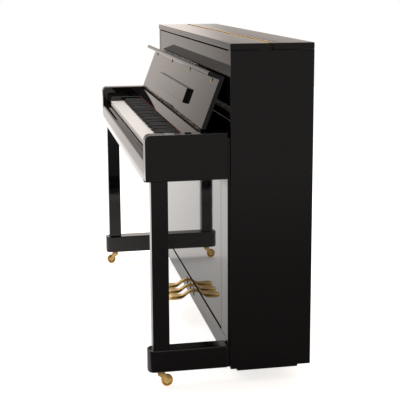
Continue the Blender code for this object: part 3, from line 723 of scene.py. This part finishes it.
class PIANO_OT_keyboard(Maker):
    """Eighty-eight keys, the slip in front of them, the blocks beside them and the felt"""
    bl_idname = "piano.keyboard"
    bl_label = "Keyboard"

    def white_key(self, bm, index, octave_first, step):
        """A wide head with a lipped covering and a tail between the black keys."""
        sizes = settings()[1]
        low, high = low_high("key_e")
        head_back = low_high("key_c_sharp")[0][1] - 0.002
        sharp = low_high("key_c_sharp")
        reach = (sharp[1][0] - sharp[0][0]) / 2 + sizes.key_gap
        left = white_start(index) + sizes.key_gap / 2
        right = left + key_pitch() - sizes.key_gap
        tail_left, tail_right = left, right
        if step > 0 and not is_white(step - 1) and index > 0:
            tail_left = sharp_centre(octave_first, step - 1) + reach
        if step < 11 and not is_white(step + 1) and index < WHITE_COUNT - 1:
            tail_right = sharp_centre(octave_first, step + 1) - reach

        def outline(front):
            return [(left, front), (right, front), (right, head_back), (tail_right, head_back),
                    (tail_right, high[1]), (tail_left, high[1]), (tail_left, head_back),
                    (left, head_back)]
        covering = high[2] - 0.0030
        add_prism(bm, rounded([(u, v, 0.0012 if v == low[1] else 0.0)
                               for u, v in outline(low[1])], 3), "Z", covering, high[2])
        add_prism(bm, outline(low[1] + sizes.key_lip), "Z", low[2], covering)

    def black_key(self, bm, octave_first, step):
        """A stick between the white tails, with a cap that narrows upwards and slopes in front."""
        low, high = low_high("key_c_sharp")
        centre = sharp_centre(octave_first, step)
        half = (high[0] - low[0]) / 2 - 0.0002
        shoulder = low_high("key_e")[1][2] - 0.001
        add_box(bm, (centre - half, low[1] + 0.0002, low[2]), (centre + half, high[1], shoulder))
        back = low_high("key_slip")[1][1] + 0.150
        rings = []
        for height, front, rear, width in ((shoulder, low[1], back, half),
                                           (shoulder + 0.0040, low[1] + 0.0016, back - 0.0004,
                                            half - 0.0006),
                                           (high[2] - 0.0016, low[1] + 0.0066, back - 0.0010,
                                            half - 0.0014),
                                           (high[2], low[1] + 0.0110, back - 0.0020,
                                            half - 0.0021)):
            rings.append([bm.verts.new((centre + sx * width, y, height))
                          for sx, y in ((-1, front), (1, front), (1, rear), (-1, rear))])
        bridge_rings(bm, rings)
        bm.faces.new(rings[-1])
        bm.faces.new(list(reversed(rings[0])))
        bmesh.ops.recalc_face_normals(bm, faces=bm.faces)

    def key_groups(self):
        """Keys that ride on the case, joined by colour and by side of the middle octave."""
        for name, inside in (("bass", lambda i: i < MIDDLE_C), ("treble", lambda i: i >= MIDDLE_C + 7)):
            bm = bmesh.new()
            for index, octave_first, step in white_keys_and_steps():
                if inside(index):
                    self.white_key(bm, index, octave_first, step)
            piece("white_keys_" + name, bm, "key_white", instead_of=("keys_" + name,),
                  edge=0.0007, segments=2)
            bm = bmesh.new()
            for octave_first, step in sharps():
                if inside(octave_first):
                    self.black_key(bm, octave_first, step)
            piece("black_keys_" + name, bm, "key_black", edge=0.0012, segments=3, smooth=20)

    def middle_octave(self):
        for step, note in enumerate(NOTE_NAMES):
            body = "key_" + note
            bm = bmesh.new()
            if is_white(step):
                self.white_key(bm, MIDDLE_C + WHITE_STEPS.index(step), MIDDLE_C, step)
                piece("fine_" + body, bm, "key_white", body, (body,), 0.0007, 2)
            else:
                self.black_key(bm, MIDDLE_C, step)
                piece("fine_" + body, bm, "key_black", body, (body,), 0.0012, 3, 20)

    def slip(self):
        """The tall front rail: a rounded shoulder and a raised bead close to the keys."""
        low, high = low_high("key_slip")
        front, back = low[1], high[1]
        outline = rounded([(front, low[2], 0.0015), (back, low[2], 0.0015), (back, high[2], 0.0012),
                           (back - 0.0052, high[2], 0.0030), (back - 0.0112, high[2] - 0.0062, 0.0050),
                           (front, high[2] - 0.0072, 0.0095)], 8)
        prism("fine_key_slip", outline, "X", low[0], high[0],
              "lacquer", instead_of=("key_slip",), smooth=50)

    def cheek(self, side):
        node = "cheek_block_" + side
        low, high = low_high(node)
        outline = rounded([(low[1], low[2], 0.0), (high[1], low[2], 0.0), (high[1], high[2], 0.0),
                           (low[1], high[2], 0.009)], 8)
        prism("fine_" + node, outline, "X", low[0], high[0],
              "lacquer", instead_of=(node,), edge=0.0015, smooth=40)

    def make(self):
        self.key_groups()
        self.middle_octave()
        self.slip()
        for side in SIDES:
            self.cheek(side)
        # Painted shade: the key frame is beech, but it takes the black finish so the gap behind the slip
        # reads dark.
        refinish("key_frame", "black_stain")
        # This felt's colour setting is darkened as painted shade.
        low, high = low_high("name_felt")
        bm = bmesh.new()
        add_box(bm, (low[0], low[1] + 0.0006, low[2]), (high[0], high[1] - 0.0002, low[2] + 0.0016))
        piece("fine_name_felt", bm, "red_felt", instead_of=("name_felt",), edge=0.0006, segments=3)


# ---- fallboard ---------------------------------------------------------------------------
def joint(name):
    return next(j for j in frame["joints"] if j["name"] == name)


LEAF_LEAN = math.radians(20.8)
STRIP_FOOT = -0.1068    # Y of the strip's front at the felt
STRIP_RISE = 0.0300     # height of its curved part
STRIP_TOP = -0.0890     # Y of its upright part under the hinge
STRIP_BACK = 0.8120     # height of the ledge behind it
STRIP_SHELF = 0.0061    # thickness of material left under the ledge


def leaf_frame():
    """The leaf's own directions about its hinge: X, behind the leaf, up along the leaf."""
    hinge = Vector(joint("fallboard_close")["pos_m"])
    return Matrix.Translation(hinge) @ Matrix.Rotation(-LEAF_LEAN, 4, "X")


class PIANO_OT_fallboard(Maker):
    """Open fallboard with its lip, hinge, buttons and folding music desk"""
    bl_idname = "piano.fallboard"
    bl_label = "Fallboard"
    thickness = 0.014
    length = 0.180
    lip = 0.040
    clear = 0.0035

    def leaf(self):
        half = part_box("fallboard")[1].x
        outline = rounded([(0.0, self.clear, 0.002), (self.thickness, self.clear, 0.002),
                           (self.thickness, self.length, 0.004), (-self.lip, self.length, 0.0045),
                           (-self.lip, self.length - self.thickness, 0.0045),
                           (0.0, self.length - self.thickness, 0.0005)], 6)
        prism("fine_fallboard", outline, "X", -half, half,
              "lacquer", "fallboard", ("fallboard",), 0.0015, 2, 50, place=leaf_frame())

    def buttons(self):
        """Small brass buttons that the closed fallboard rests on."""
        radius = settings()[1].button
        dome = [(0.0, 0.0), (radius, 0.0), (radius, 0.0012), (radius * 0.90, 0.0021),
                (radius * 0.60, 0.0026), (0.0, 0.0028)]
        bm = bmesh.new()
        for x in (-0.6, -0.2, 0.2, 0.6):
            add_turned(bm, [(r, -0.0001 - a) for r, a in dome], (x, 0.0, 0.155), "Y", 24)
        bm.transform(leaf_frame())
        piece("fallboard_buttons", bm, "brass", "fallboard", smooth=50)

    def hinge(self):
        low, high = low_high("fallboard_hinge")
        hinge_place = joint("fallboard_close")["pos_m"]
        radius = high[2] - hinge_place[2]
        long_hinge("fallboard_hinge", hinge_place[1:], radius, high[0], ("case", "fallboard"),
                   0.0050, "aged_brass")
        board("fallboard_hinge_web", (low[0], low[1] + radius - 0.0008, low[2]),
              (high[0], low[1] + radius + 0.0008, hinge_place[2] - 0.0005), "aged_brass", "case",
              ("fallboard_hinge",), 0.0003)

    def strip(self):
        """Steep strip behind the keys, with a shelf behind it under the leaf's hinge."""
        low, high = low_high("fall_strip")
        cove = [(STRIP_FOOT + 0.60 * h - 0.9 * h * h, low[2] + h)
                for h in (STRIP_RISE * i / 10 for i in range(11))]
        shelf = low[2] + STRIP_SHELF
        outline = cove + [(STRIP_TOP, high[2] - 0.0040), (STRIP_TOP, high[2]), (-0.0880, STRIP_BACK),
                          (high[1], STRIP_BACK), (high[1], shelf), (-0.0870, shelf),
                          (-0.0950, low[2])]
        prism("fine_fall_strip", outline, "X", low[0], high[0],
              "lacquer", instead_of=("fall_strip",), smooth=30)

    def desk(self):
        """Ledge that lies on the leaf and turns about its lower back edge."""
        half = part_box("music_desk")[1].x
        into_leaf = leaf_frame().inverted()
        axis = into_leaf @ Vector(joint("desk_fold")["pos_m"])
        outline = rounded([(axis.y - 0.012, axis.z, 0.0008), (axis.y, axis.z, 0.0005),
                           (axis.y, axis.z + 0.053, 0.001), (axis.y - 0.012, axis.z + 0.053, 0.003)], 5)
        prism("fine_music_desk", outline, "X", -half, half,
              "lacquer", "desk", ("music_desk",), 0.0015, 2, 50, place=leaf_frame())

    def make(self):
        self.leaf()
        self.buttons()
        self.hinge()
        self.strip()
        self.desk()


# ---- inside ------------------------------------------------------------------------------
NOTE_COUNT = 88
DAMPED_NOTES = 68       # the highest notes have no damper
BACK_WINDOW = (0.160, 0.930)    # height of the opening between the two rails of the back
LOW_BOLT_ROW = 0.113
BOLT_PITCH = 0.165
RIB_PITCH = 0.150
RIB_DEPTH = 0.012
HALF_SCALE = 0.640      # half the length of the row of strings and of its bars
RIB_REACH = 0.660       # where the ribs meet the outer posts
HEAD_Z = 0.9665         # height of the hammer heads
STRING_Y = 0.1570       # the plane of the strings, just in front of the plate
PIN_ROWS = (1.0270, 1.0385)
STRING_COUNT = 220
BASS_STRINGS = 44


class PIANO_OT_back(Maker):
    """Posts and rails of the back, the soundboard and its ribs"""
    bl_idname = "piano.back"
    bl_label = "Back"

    def make(self):
        low, high = low_high("back_frame")
        uprights = ((low[0], -0.6585), (-0.380, -0.320), (-0.030, 0.030), (0.320, 0.380),
                    (0.6585, high[0]))
        for i, (left, right) in enumerate(uprights):
            board(f"back_post_{i + 1}", (left, low[1] + 0.001, BACK_WINDOW[0] - 0.001),
                  (right, high[1] - 0.001, BACK_WINDOW[1] + 0.001), "beech_along_z", edge=0.003)
        board("back_bottom_rail", low, (high[0], high[1], BACK_WINDOW[0]), "beech_along_x", edge=0.003)
        board("back_top_rail", (low[0], low[1], BACK_WINDOW[1]), high, "beech_along_x", "case",
              ("back_frame",), 0.003)
        self.bolts(high)
        board_for("soundboard", "spruce_board", edge=0.001)
        self.ribs()

    def bolts(self, high):
        """Heads of the bolts that tie the plate through both rails."""
        bm = bmesh.new()
        head = [(0.0, -0.0020), (0.0125, -0.0020), (0.0125, 0.0004), (0.0100, 0.0014),
                (0.0060, 0.0019), (0.0, 0.0021)]
        for z in ((BACK_WINDOW[1] + high[2]) / 2, LOW_BOLT_ROW):
            for i in range(9):
                add_turned(bm, head, ((i - 4) * BOLT_PITCH + 0.004, high[1], z), "Y", 20)
        piece("back_bolts", bm, "steel_wire", smooth=35)

    def ribs(self):
        """Diagonal ribs across the back of the soundboard, cut off at the frame."""
        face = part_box("soundboard")[1].y
        half = settings()[1].rib / 2
        bm = bmesh.new()
        for i in range(-4, 6):
            middle = (i - 0.5) * RIB_PITCH
            ends = []
            for z in (BACK_WINDOW[0], BACK_WINDOW[1]):
                x = middle + (z - sum(BACK_WINDOW) / 2)
                inside = max(-RIB_REACH, min(RIB_REACH, x))
                ends.append((inside, z + (inside - x)))
            if ends[0][0] >= RIB_REACH or ends[1][0] <= -RIB_REACH:
                continue
            (x0, z0), (x1, z1) = ends
            side = Vector((-(z1 - z0), x1 - x0)).normalized() * half
            outline = [(x0 - side.x, z0 - side.y), (x1 - side.x, z1 - side.y),
                       (x1 + side.x, z1 + side.y), (x0 + side.x, z0 + side.y)]
            add_prism(bm, outline, "Y", face, face + RIB_DEPTH)
        piece("soundboard_ribs", bm, "spruce_ribs", edge=0.0025)


class PIANO_OT_strings(Maker):
    """Iron plate, pin block, tuning pins, strings and pressure bar"""
    bl_idname = "piano.strings"
    bl_label = "Strings"

    def make(self):
        refinish("iron_plate", "plate_bronze")
        refinish("pin_block", "beech_along_x")
        low = low_high("iron_plate")[0]
        pins, plain, wound = bmesh.new(), bmesh.new(), bmesh.new()
        foot = low[2] + 0.045
        for i in range(STRING_COUNT):
            x = -HALF_SCALE + 2 * HALF_SCALE * i / (STRING_COUNT - 1)
            z = PIN_ROWS[i % 2]
            add_rod(pins, (x, low[1] + 0.001, z), (x, low[1] - 0.020, z), 0.0029, 10, 0.0026)
            bass = i < BASS_STRINGS
            lower = x + 0.30 if bass else x * 0.96 - 0.012
            depth = STRING_Y - 0.0014 if bass else STRING_Y
            radius = 0.0009 if bass else 0.0005
            add_rod(wound if bass else plain, (x, depth, z), (lower, depth, foot + 0.0011 * i),
                    radius, 6)
        piece("tuning_pins", pins, "steel_wire", smooth=40)
        piece("plain_strings", plain, "steel_wire", smooth=60)
        piece("wound_strings", wound, "copper_wire", smooth=60)
        bar = low_high("muffler_rail")
        board("pressure_bar", (-HALF_SCALE, bar[1][1] + 0.0006, 1.0080), (HALF_SCALE, low[1], 1.0150),
              "steel_wire", edge=0.0012)


class PIANO_OT_action(Maker):
    """Hammers, dampers, action rails and the muffler"""
    bl_idname = "piano.action"
    bl_label = "Action"

    def hammers(self):
        """A felt head glued round a wooden core, on a round shank in a small butt."""
        low, high = low_high("hammer_row")
        heads, shanks = bmesh.new(), bmesh.new()
        pitch = (high[0] - low[0]) / NOTE_COUNT
        nose = rounded([(high[1] - 0.050, HEAD_Z - 0.0045, 0.0), (high[1] - 0.028, HEAD_Z - 0.0125, 0.010),
                        (high[1], HEAD_Z - 0.0090, 0.0080), (high[1], HEAD_Z + 0.0090, 0.0080),
                        (high[1] - 0.028, HEAD_Z + 0.0125, 0.010),
                        (high[1] - 0.050, HEAD_Z + 0.0045, 0.0)], 5)
        for i in range(NOTE_COUNT):
            x = low[0] + (i + 0.5) * pitch
            add_prism(heads, nose, "X", x - 0.0046, x + 0.0046)
            add_box(shanks, (x - 0.0035, high[1] - 0.052, HEAD_Z - 0.0042),
                    (x + 0.0035, high[1] - 0.034, HEAD_Z + 0.0042))
            add_rod(shanks, (x, low[1] + 0.016, low[2] + 0.018), (x, high[1] - 0.047, HEAD_Z),
                    0.0024, 8)
            add_box(shanks, (x - 0.0045, low[1] + 0.004, low[2]),
                    (x + 0.0045, low[1] + 0.024, low[2] + 0.026))
        piece("hammer_felts", heads, "white_felt", instead_of=("hammer_row",), edge=0.0008,
              segments=2)
        piece("hammer_shanks", shanks, "beech_along_z", smooth=40)

    def dampers(self):
        """Felt blocks on wires that rest on the strings below the hammers."""
        low, high = low_high("hammer_row")
        felts, wires = bmesh.new(), bmesh.new()
        pitch = (high[0] - low[0]) / NOTE_COUNT
        for i in range(DAMPED_NOTES):
            x = low[0] + (i + 0.5) * pitch
            add_box(felts, (x - 0.0046, 0.1490, 0.884), (x + 0.0046, 0.1548, 0.934))
            add_box(wires, (x - 0.0040, 0.1440, 0.888), (x + 0.0040, 0.1488, 0.930))
            add_rod(wires, (x, 0.0730, 0.846), (x, 0.1430, 0.905), 0.0010, 6)
        piece("damper_felts", felts, "white_felt", edge=0.0010, segments=2)
        piece("damper_heads", wires, "black_stain", smooth=40)

    def make(self):
        refinish("action_frame", "beech_along_x")
        self.hammers()
        self.dampers()
        bm = bmesh.new()
        add_rod(bm, (-HALF_SCALE, 0.0560, 0.925), (HALF_SCALE, 0.0560, 0.925), 0.0070, 20)
        piece("hammer_rest_rail", bm, "white_felt", smooth=40)
        low, high = low_high("muffler_rail")
        board("muffler_felt", low, (high[0], high[1], high[2] - 0.008), "white_felt", "muffler",
              ("muffler_rail",), 0.0010)
        board("muffler_bar", (low[0], low[1], high[2] - 0.008), high, "beech_along_x", "muffler",
              (), 0.0010)


# ---- pedals ------------------------------------------------------------------------------
PEDAL_SECTIONS = (      # y from the front tip, height of the middle, width, thickness
    (0.0000, 0.0970, 0.010, 0.0050), (0.0012, 0.0970, 0.022, 0.0090),
    (0.0040, 0.0970, 0.034, 0.0118), (0.0090, 0.0971, 0.041, 0.0138),
    (0.0180, 0.0972, 0.044, 0.0148), (0.0340, 0.0974, 0.043, 0.0150),
    (0.0500, 0.0982, 0.033, 0.0144), (0.0610, 0.1015, 0.0210, 0.0130),
    (0.0710, 0.1085, 0.0170, 0.0120), (0.0800, 0.1150, 0.0155, 0.0114),
    (0.0900, 0.1180, 0.0150, 0.0110), (0.1300, 0.1180, 0.0150, 0.0110))


class PIANO_OT_pedals(Maker):
    """Three brass pedals, their pivots and the rod of the right one"""
    bl_idname = "piano.pedals"
    bl_label = "Pedals"

    def smooth_sections(self, steps=4):
        """Sections between the given ones, on a curve through them."""
        rows = [Vector(row) for row in PEDAL_SECTIONS]
        rows = [2 * rows[0] - rows[1]] + rows + [2 * rows[-1] - rows[-2]]
        for a, b, c, d in zip(rows, rows[1:], rows[2:], rows[3:]):
            for step in range(steps):
                t = step / steps
                yield 0.5 * (2 * b + (c - a) * t + (2 * a - 5 * b + 4 * c - d) * t ** 2
                             + (3 * b - a - 3 * c + d) * t ** 3)
        yield rows[-2]

    def pedal(self, name):
        node = "pedal_" + name
        low, high = low_high(node)
        x = joint(f"pedal_{name}_press")["pos_m"][0]
        bm = bmesh.new()
        rings = []
        for along, middle, width, thick in self.smooth_sections():
            ring = []
            for i in range(28):
                a = 2 * math.pi * i / 28
                u = math.copysign(abs(math.cos(a)) ** 0.55, math.cos(a))
                v = math.sin(a) ** 0.2 if a < math.pi else math.sin(a)
                ring.append(bm.verts.new((x + u * width / 2, low[1] + along, middle + v * thick / 2)))
            rings.append(ring)
        bridge_rings(bm, rings)
        bm.faces.new(rings[0])
        bm.faces.new(rings[-1])
        bmesh.ops.recalc_face_normals(bm, faces=bm.faces)
        tail = low[1] + PEDAL_SECTIONS[-1][0]
        add_box(bm, (x - 0.0070, tail - 0.004, 0.1130), (x + 0.0070, high[1], 0.1230))
        piece("fine_" + node, bm, "brass", node, (node,), smooth=50)

    def make(self):
        pins = bmesh.new()
        for name in ("left", "middle", "right"):
            self.pedal(name)
            x, y, z = joint(f"pedal_{name}_press")["pos_m"]
            add_rod(pins, (x - 0.0160, y, z), (x - 0.0080, y, z), 0.0030, 16)
            add_rod(pins, (x + 0.0080, y, z), (x + 0.0160, y, z), 0.0030, 16)
        piece("pedal_pivot_pins", pins, "steel_wire", smooth=40)
        low, high = low_high("sustain_rod")
        x, y = (low[0] + high[0]) / 2, (low[1] + high[1]) / 2
        radius = (high[0] - low[0]) / 2
        bm = bmesh.new()
        add_turned(bm, [(0.0, low[2]), (radius * 0.7, low[2]), (radius, low[2] + 0.004),
                        (radius, high[2] - 0.004), (radius * 0.7, high[2]), (0.0, high[2])],
                   (x, y, 0.0), "Z", 20)
        piece("fine_sustain_rod", bm, "beech_along_z", "sustain_rod", ("sustain_rod",), smooth=40)


# ---- casters -----------------------------------------------------------------------------
CASTERS = (("front_left", -1), ("front_right", 1), ("rear_left", 1), ("rear_right", 1))


class PIANO_OT_casters(Maker):
    """Brass casters: a top plate, a forked yoke and a dished wheel"""
    bl_idname = "piano.casters"
    bl_label = "Casters"

    def fork(self, label, trail):
        node = "caster_fork_" + label
        top = low_high(node)[1][2]
        x, y = joint("swivel_" + label)["pos_m"][:2]
        wheel = joint("wheel_" + label)["pos_m"]
        bm = bmesh.new()
        add_turned(bm, [(0.0, top), (0.0135, top), (0.0135, top - 0.0022), (0.0110, top - 0.0030),
                        (0.0095, top - 0.0050), (0.0120, top - 0.0075), (0.0115, top - 0.0095),
                        (0.0, top - 0.0100)], (x, y, 0.0), "Z", 32)
        cheek = rounded([(-0.0110, top - 0.0078, 0.002), (0.0105, top - 0.0078, 0.003),
                         (0.0215, 0.0315, 0.010), (0.0272, 0.0225, 0.006), (0.0250, 0.0125, 0.005),
                         (0.0150, 0.0125, 0.005), (0.0085, 0.0260, 0.012),
                         (-0.0110, 0.0410, 0.002)], 5)
        cheek = [(y + trail * u, v) for u, v in cheek]
        for inner, outer in ((-0.0112, -0.0088), (0.0088, 0.0112)):
            add_prism(bm, cheek, "X", x + inner, x + outer)
        add_box(bm, (x - 0.0112, y - 0.0100, top - 0.0100), (x + 0.0112, y + 0.0100, top - 0.0075))
        axle = [(0.0, -0.0124), (0.0026, -0.0122), (0.0040, -0.0112), (0.0030, -0.0111),
                (0.0030, 0.0111), (0.0040, 0.0112), (0.0026, 0.0122), (0.0, 0.0124)]
        add_turned(bm, axle, (x, wheel[1], wheel[2]), "X", 20)
        piece("fine_" + node, bm, "brass", "fork_" + label, (node,), edge=0.0009, segments=3,
              smooth=45)

    def wheel(self, label):
        node = "caster_wheel_" + label
        x, y, z = joint("wheel_" + label)["pos_m"]
        half = 0.0075
        radius = z
        bm = bmesh.new()
        dish = [(0.0030, 0.0070), (0.0052, 0.0066), (0.0066, 0.0046), (0.0092, 0.0032),
                (radius - 0.0080, 0.0034), (radius - 0.0056, 0.0052), (radius - 0.0040, half),
                (radius - 0.0022, half - 0.0004), (radius - 0.0008, half - 0.0018),
                (radius, half - 0.0040)]
        profile = dish + [(r, -a) for r, a in reversed(dish)]
        add_turned(bm, profile, (x, y, z), "X", 48)
        rivet = [(0.0, 0.0040), (0.0016, 0.0040), (0.0015, 0.0050), (0.0009, 0.0056), (0.0, 0.0058)]
        for i in range(5):
            angle = 2 * math.pi * i / 5 + 0.3
            across, up = 0.0105 * math.cos(angle), 0.0105 * math.sin(angle)
            for side in (-1, 1):
                add_turned(bm, [(r, side * (a - 0.0014)) for r, a in rivet],
                           (x, y + across, z + up), "X", 12)
        piece("fine_" + node, bm, "brass", "wheel_" + label, (node,), smooth=40)

    def make(self):
        for label, trail in CASTERS:
            self.fork(label, trail)
            self.wheel(label)


# ---- stage -------------------------------------------------------------------------------
class PIANO_OT_stage(Maker):
    """Camera, lamps, floor and surroundings"""
    bl_idname = "piano.stage"
    bl_label = "Stage"

    def camera(self):
        studio = settings()[2]
        data = bpy.data.cameras.new("camera")
        data.lens = studio.lens
        data.sensor_width = 36.0
        data.shift_y = studio.shift
        camera = bpy.data.objects.new("camera", data)
        camera.location = studio.camera_place
        camera.rotation_euler = studio.camera_turn
        bpy.context.scene.collection.objects.link(camera)
        bpy.context.scene.camera = camera

    def lamp(self, name, place, aim, size, power):
        data = bpy.data.lights.new(name, "AREA")
        data.size = size
        data.energy = power
        lamp = bpy.data.objects.new(name, data)
        lamp.location = place
        lamp.rotation_euler = (Vector(aim) - Vector(place)).to_track_quat("-Z", "Y").to_euler()
        bpy.context.scene.collection.objects.link(lamp)

    def surroundings(self):
        """White to the camera. Every other ray meets a pale bass end and a dimmer room, and
        gloss also meets a bright card."""
        studio = settings()[2]
        world = bpy.data.worlds.new("studio")
        bpy.context.scene.world = world
        world.use_nodes = True
        world.node_tree.nodes.clear()
        nodes = Nodes(world.node_tree)
        direction = nodes.node("TexCoord", output="Generated")
        east = nodes.node("SeparateXYZ", {}, {"Vector": direction}, "X")
        north = nodes.node("SeparateXYZ", {}, {"Vector": direction}, "Y")
        height = nodes.node("SeparateXYZ", {}, {"Vector": direction}, "Z")
        room = nodes.blend(nodes.between(east, -0.55, 0.60), studio.bright_side, studio.dark_side)
        wall_end = nodes.between(north, -0.25, -0.145, 0.47, 1.0) \
            + nodes.between(north, 0.0, 0.12, 0.0, 0.2)
        corner = nodes.between(north, 0.15, 0.22, 1.0, 0.42)
        below = nodes.between(height, -0.05, -0.01, 0.80, 1.0)
        gap = nodes.between(height, 0.06, 0.13) * nodes.between(height, 0.19, 0.27, 1.0, 0.0)
        upper = nodes.between(height, 0.22, 0.36, 0.0, 0.5)
        card = nodes.between(height, 0.22, 0.30) * nodes.between(height, 0.60, 0.75, 1.0, 0.0) \
            * nodes.between(north, -0.05, 0.05) * nodes.node("LightPath", output="Is Glossy Ray")
        shade = nodes.scaled(room, wall_end * corner * below * (1.0 - 0.60 * gap) + upper + card)
        seen = nodes.node("LightPath", output="Is Camera Ray")
        light = nodes.node("Background", {}, {"Color": nodes.blend(seen, shade, (1.0, 1.0, 1.0)),
                                              "Strength": 1.0})
        nodes.end("World", light)

    def floor(self):
        """White to the camera, with a soft shadow. Gloss sees painted light and painted shade on it: a
        painted pool of light towards the bass end and a floor painted dark towards the treble end.
        """
        bm = bmesh.new()
        bmesh.ops.create_grid(bm, x_segments=8, y_segments=8, size=30.0,
                              matrix=Matrix.Translation((22.0, 0.0, 0.0)))
        mesh = bpy.data.meshes.new("floor")
        bm.to_mesh(mesh)
        bm.free()
        floor = bpy.data.objects.new("floor", mesh)
        floor.location = (0.0, 0.0, CAD_BOX[0].z - 0.0002)
        bpy.context.scene.collection.objects.link(floor)
        made = Finish("floor_paint", Roughness=0.85)
        place = made.node("TexCoord", output="Object")
        east = made.node("SeparateXYZ", {}, {"Vector": place}, "X")
        north = made.node("SeparateXYZ", {}, {"Vector": place}, "Y")
        seen = made.node("LightPath", output="Is Camera Ray")
        shine = made.node("LightPath", output="Is Glossy Ray")
        # Painted shade: towards the treble end, gloss sees the floor dark.
        painted_light_and_shade_east = made.between(east, 0.76, 0.86)
        # Painted light: a pool of light on the floor at the bass end, seen only by gloss.
        painted_light_pool = made.between(east, -7.5, -5.5) * made.between(east, -5.5, 0.6, 1.0, 0.0) \
            * made.between(north, -0.71, -0.63)
        # Painted light: a little more light far out towards the bass end, seen only by gloss.
        far = made.between(east, -6.5, -3.0, 0.25, 0.0)
        # Painted shade: to gloss, the floor towards the treble end is nearly black.
        made.feed("Base Color", made.blend(painted_light_and_shade_east * shine, (0.82, 0.82, 0.82), (0.08, 0.08, 0.08)))
        # Painted light that only gloss sees: the floor glows at the bass end and faintly towards the
        # treble end.
        painted_light_west = (1.0 - painted_light_and_shade_east) * (0.20 + 0.80 * painted_light_pool + far + 0.3 * made.between(east, 0.55, 0.72))
        painted_light_east = painted_light_and_shade_east * made.between(east, 1.2, 4.5, 0.03, 0.20)
        # The camera's white is the plain backdrop. The glossy part is painted light.
        glow = 0.76 * seen + (painted_light_west + painted_light_east) * shine
        made.feed("Emission Color", made.scaled((1.0, 0.985, 0.965), glow))
        made.feed("Emission Strength", 1.0)
        mesh.materials.append(made.material)

    def make(self):
        studio = settings()[2]
        bpy.context.scene.view_settings.view_transform = "Standard"
        self.camera()
        self.surroundings()
        self.floor()
        self.lamp("overhead", (-0.8, -1.2, 3.4), (0.0, 0.0, 0.6), 3.0, studio.lamp_power)
        self.lamp("behind", (-1.2, 2.6, 2.6), (0.0, 0.0, 0.5), 2.0, studio.lamp_power * 0.3)


# ---- panel and registration --------------------------------------------------------------
OPERATORS = (PIANO_OT_case, PIANO_OT_lid, PIANO_OT_keyboard, PIANO_OT_fallboard, PIANO_OT_back,
             PIANO_OT_strings, PIANO_OT_action, PIANO_OT_pedals, PIANO_OT_casters, PIANO_OT_stage)


class PIANO_PT_parts(bpy.types.Panel):
    """Lists the piano's settings and the operators that make it"""
    bl_idname = "PIANO_PT_parts"
    bl_label = "Upright Piano"
    bl_space_type = "VIEW_3D"
    bl_region_type = "UI"
    bl_category = "Piano"

    def draw(self, context):
        column = self.layout.column()
        for group in (context.scene.piano_finishes, context.scene.piano_sizes,
                      context.scene.piano_studio):
            for name in group.__annotations__:
                column.prop(group, name)
        for operator in OPERATORS:
            column.operator(operator.bl_idname)


CLASSES = (PianoFinishes, PianoSizes, PianoStudio, *OPERATORS, PIANO_PT_parts)


def register():
    for cls in CLASSES:
        bpy.utils.register_class(cls)
    bpy.types.Scene.piano_finishes = PointerProperty(type=PianoFinishes)
    bpy.types.Scene.piano_sizes = PointerProperty(type=PianoSizes)
    bpy.types.Scene.piano_studio = PointerProperty(type=PianoStudio)


def unregister():
    del bpy.types.Scene.piano_studio
    del bpy.types.Scene.piano_sizes
    del bpy.types.Scene.piano_finishes
    for cls in reversed(CLASSES):
        bpy.utils.unregister_class(cls)


def main():
    register()
    for operator in OPERATORS:
        group, name = operator.bl_idname.split(".")
        getattr(getattr(bpy.ops, group), name)()


if __name__ == "__main__":
    main()
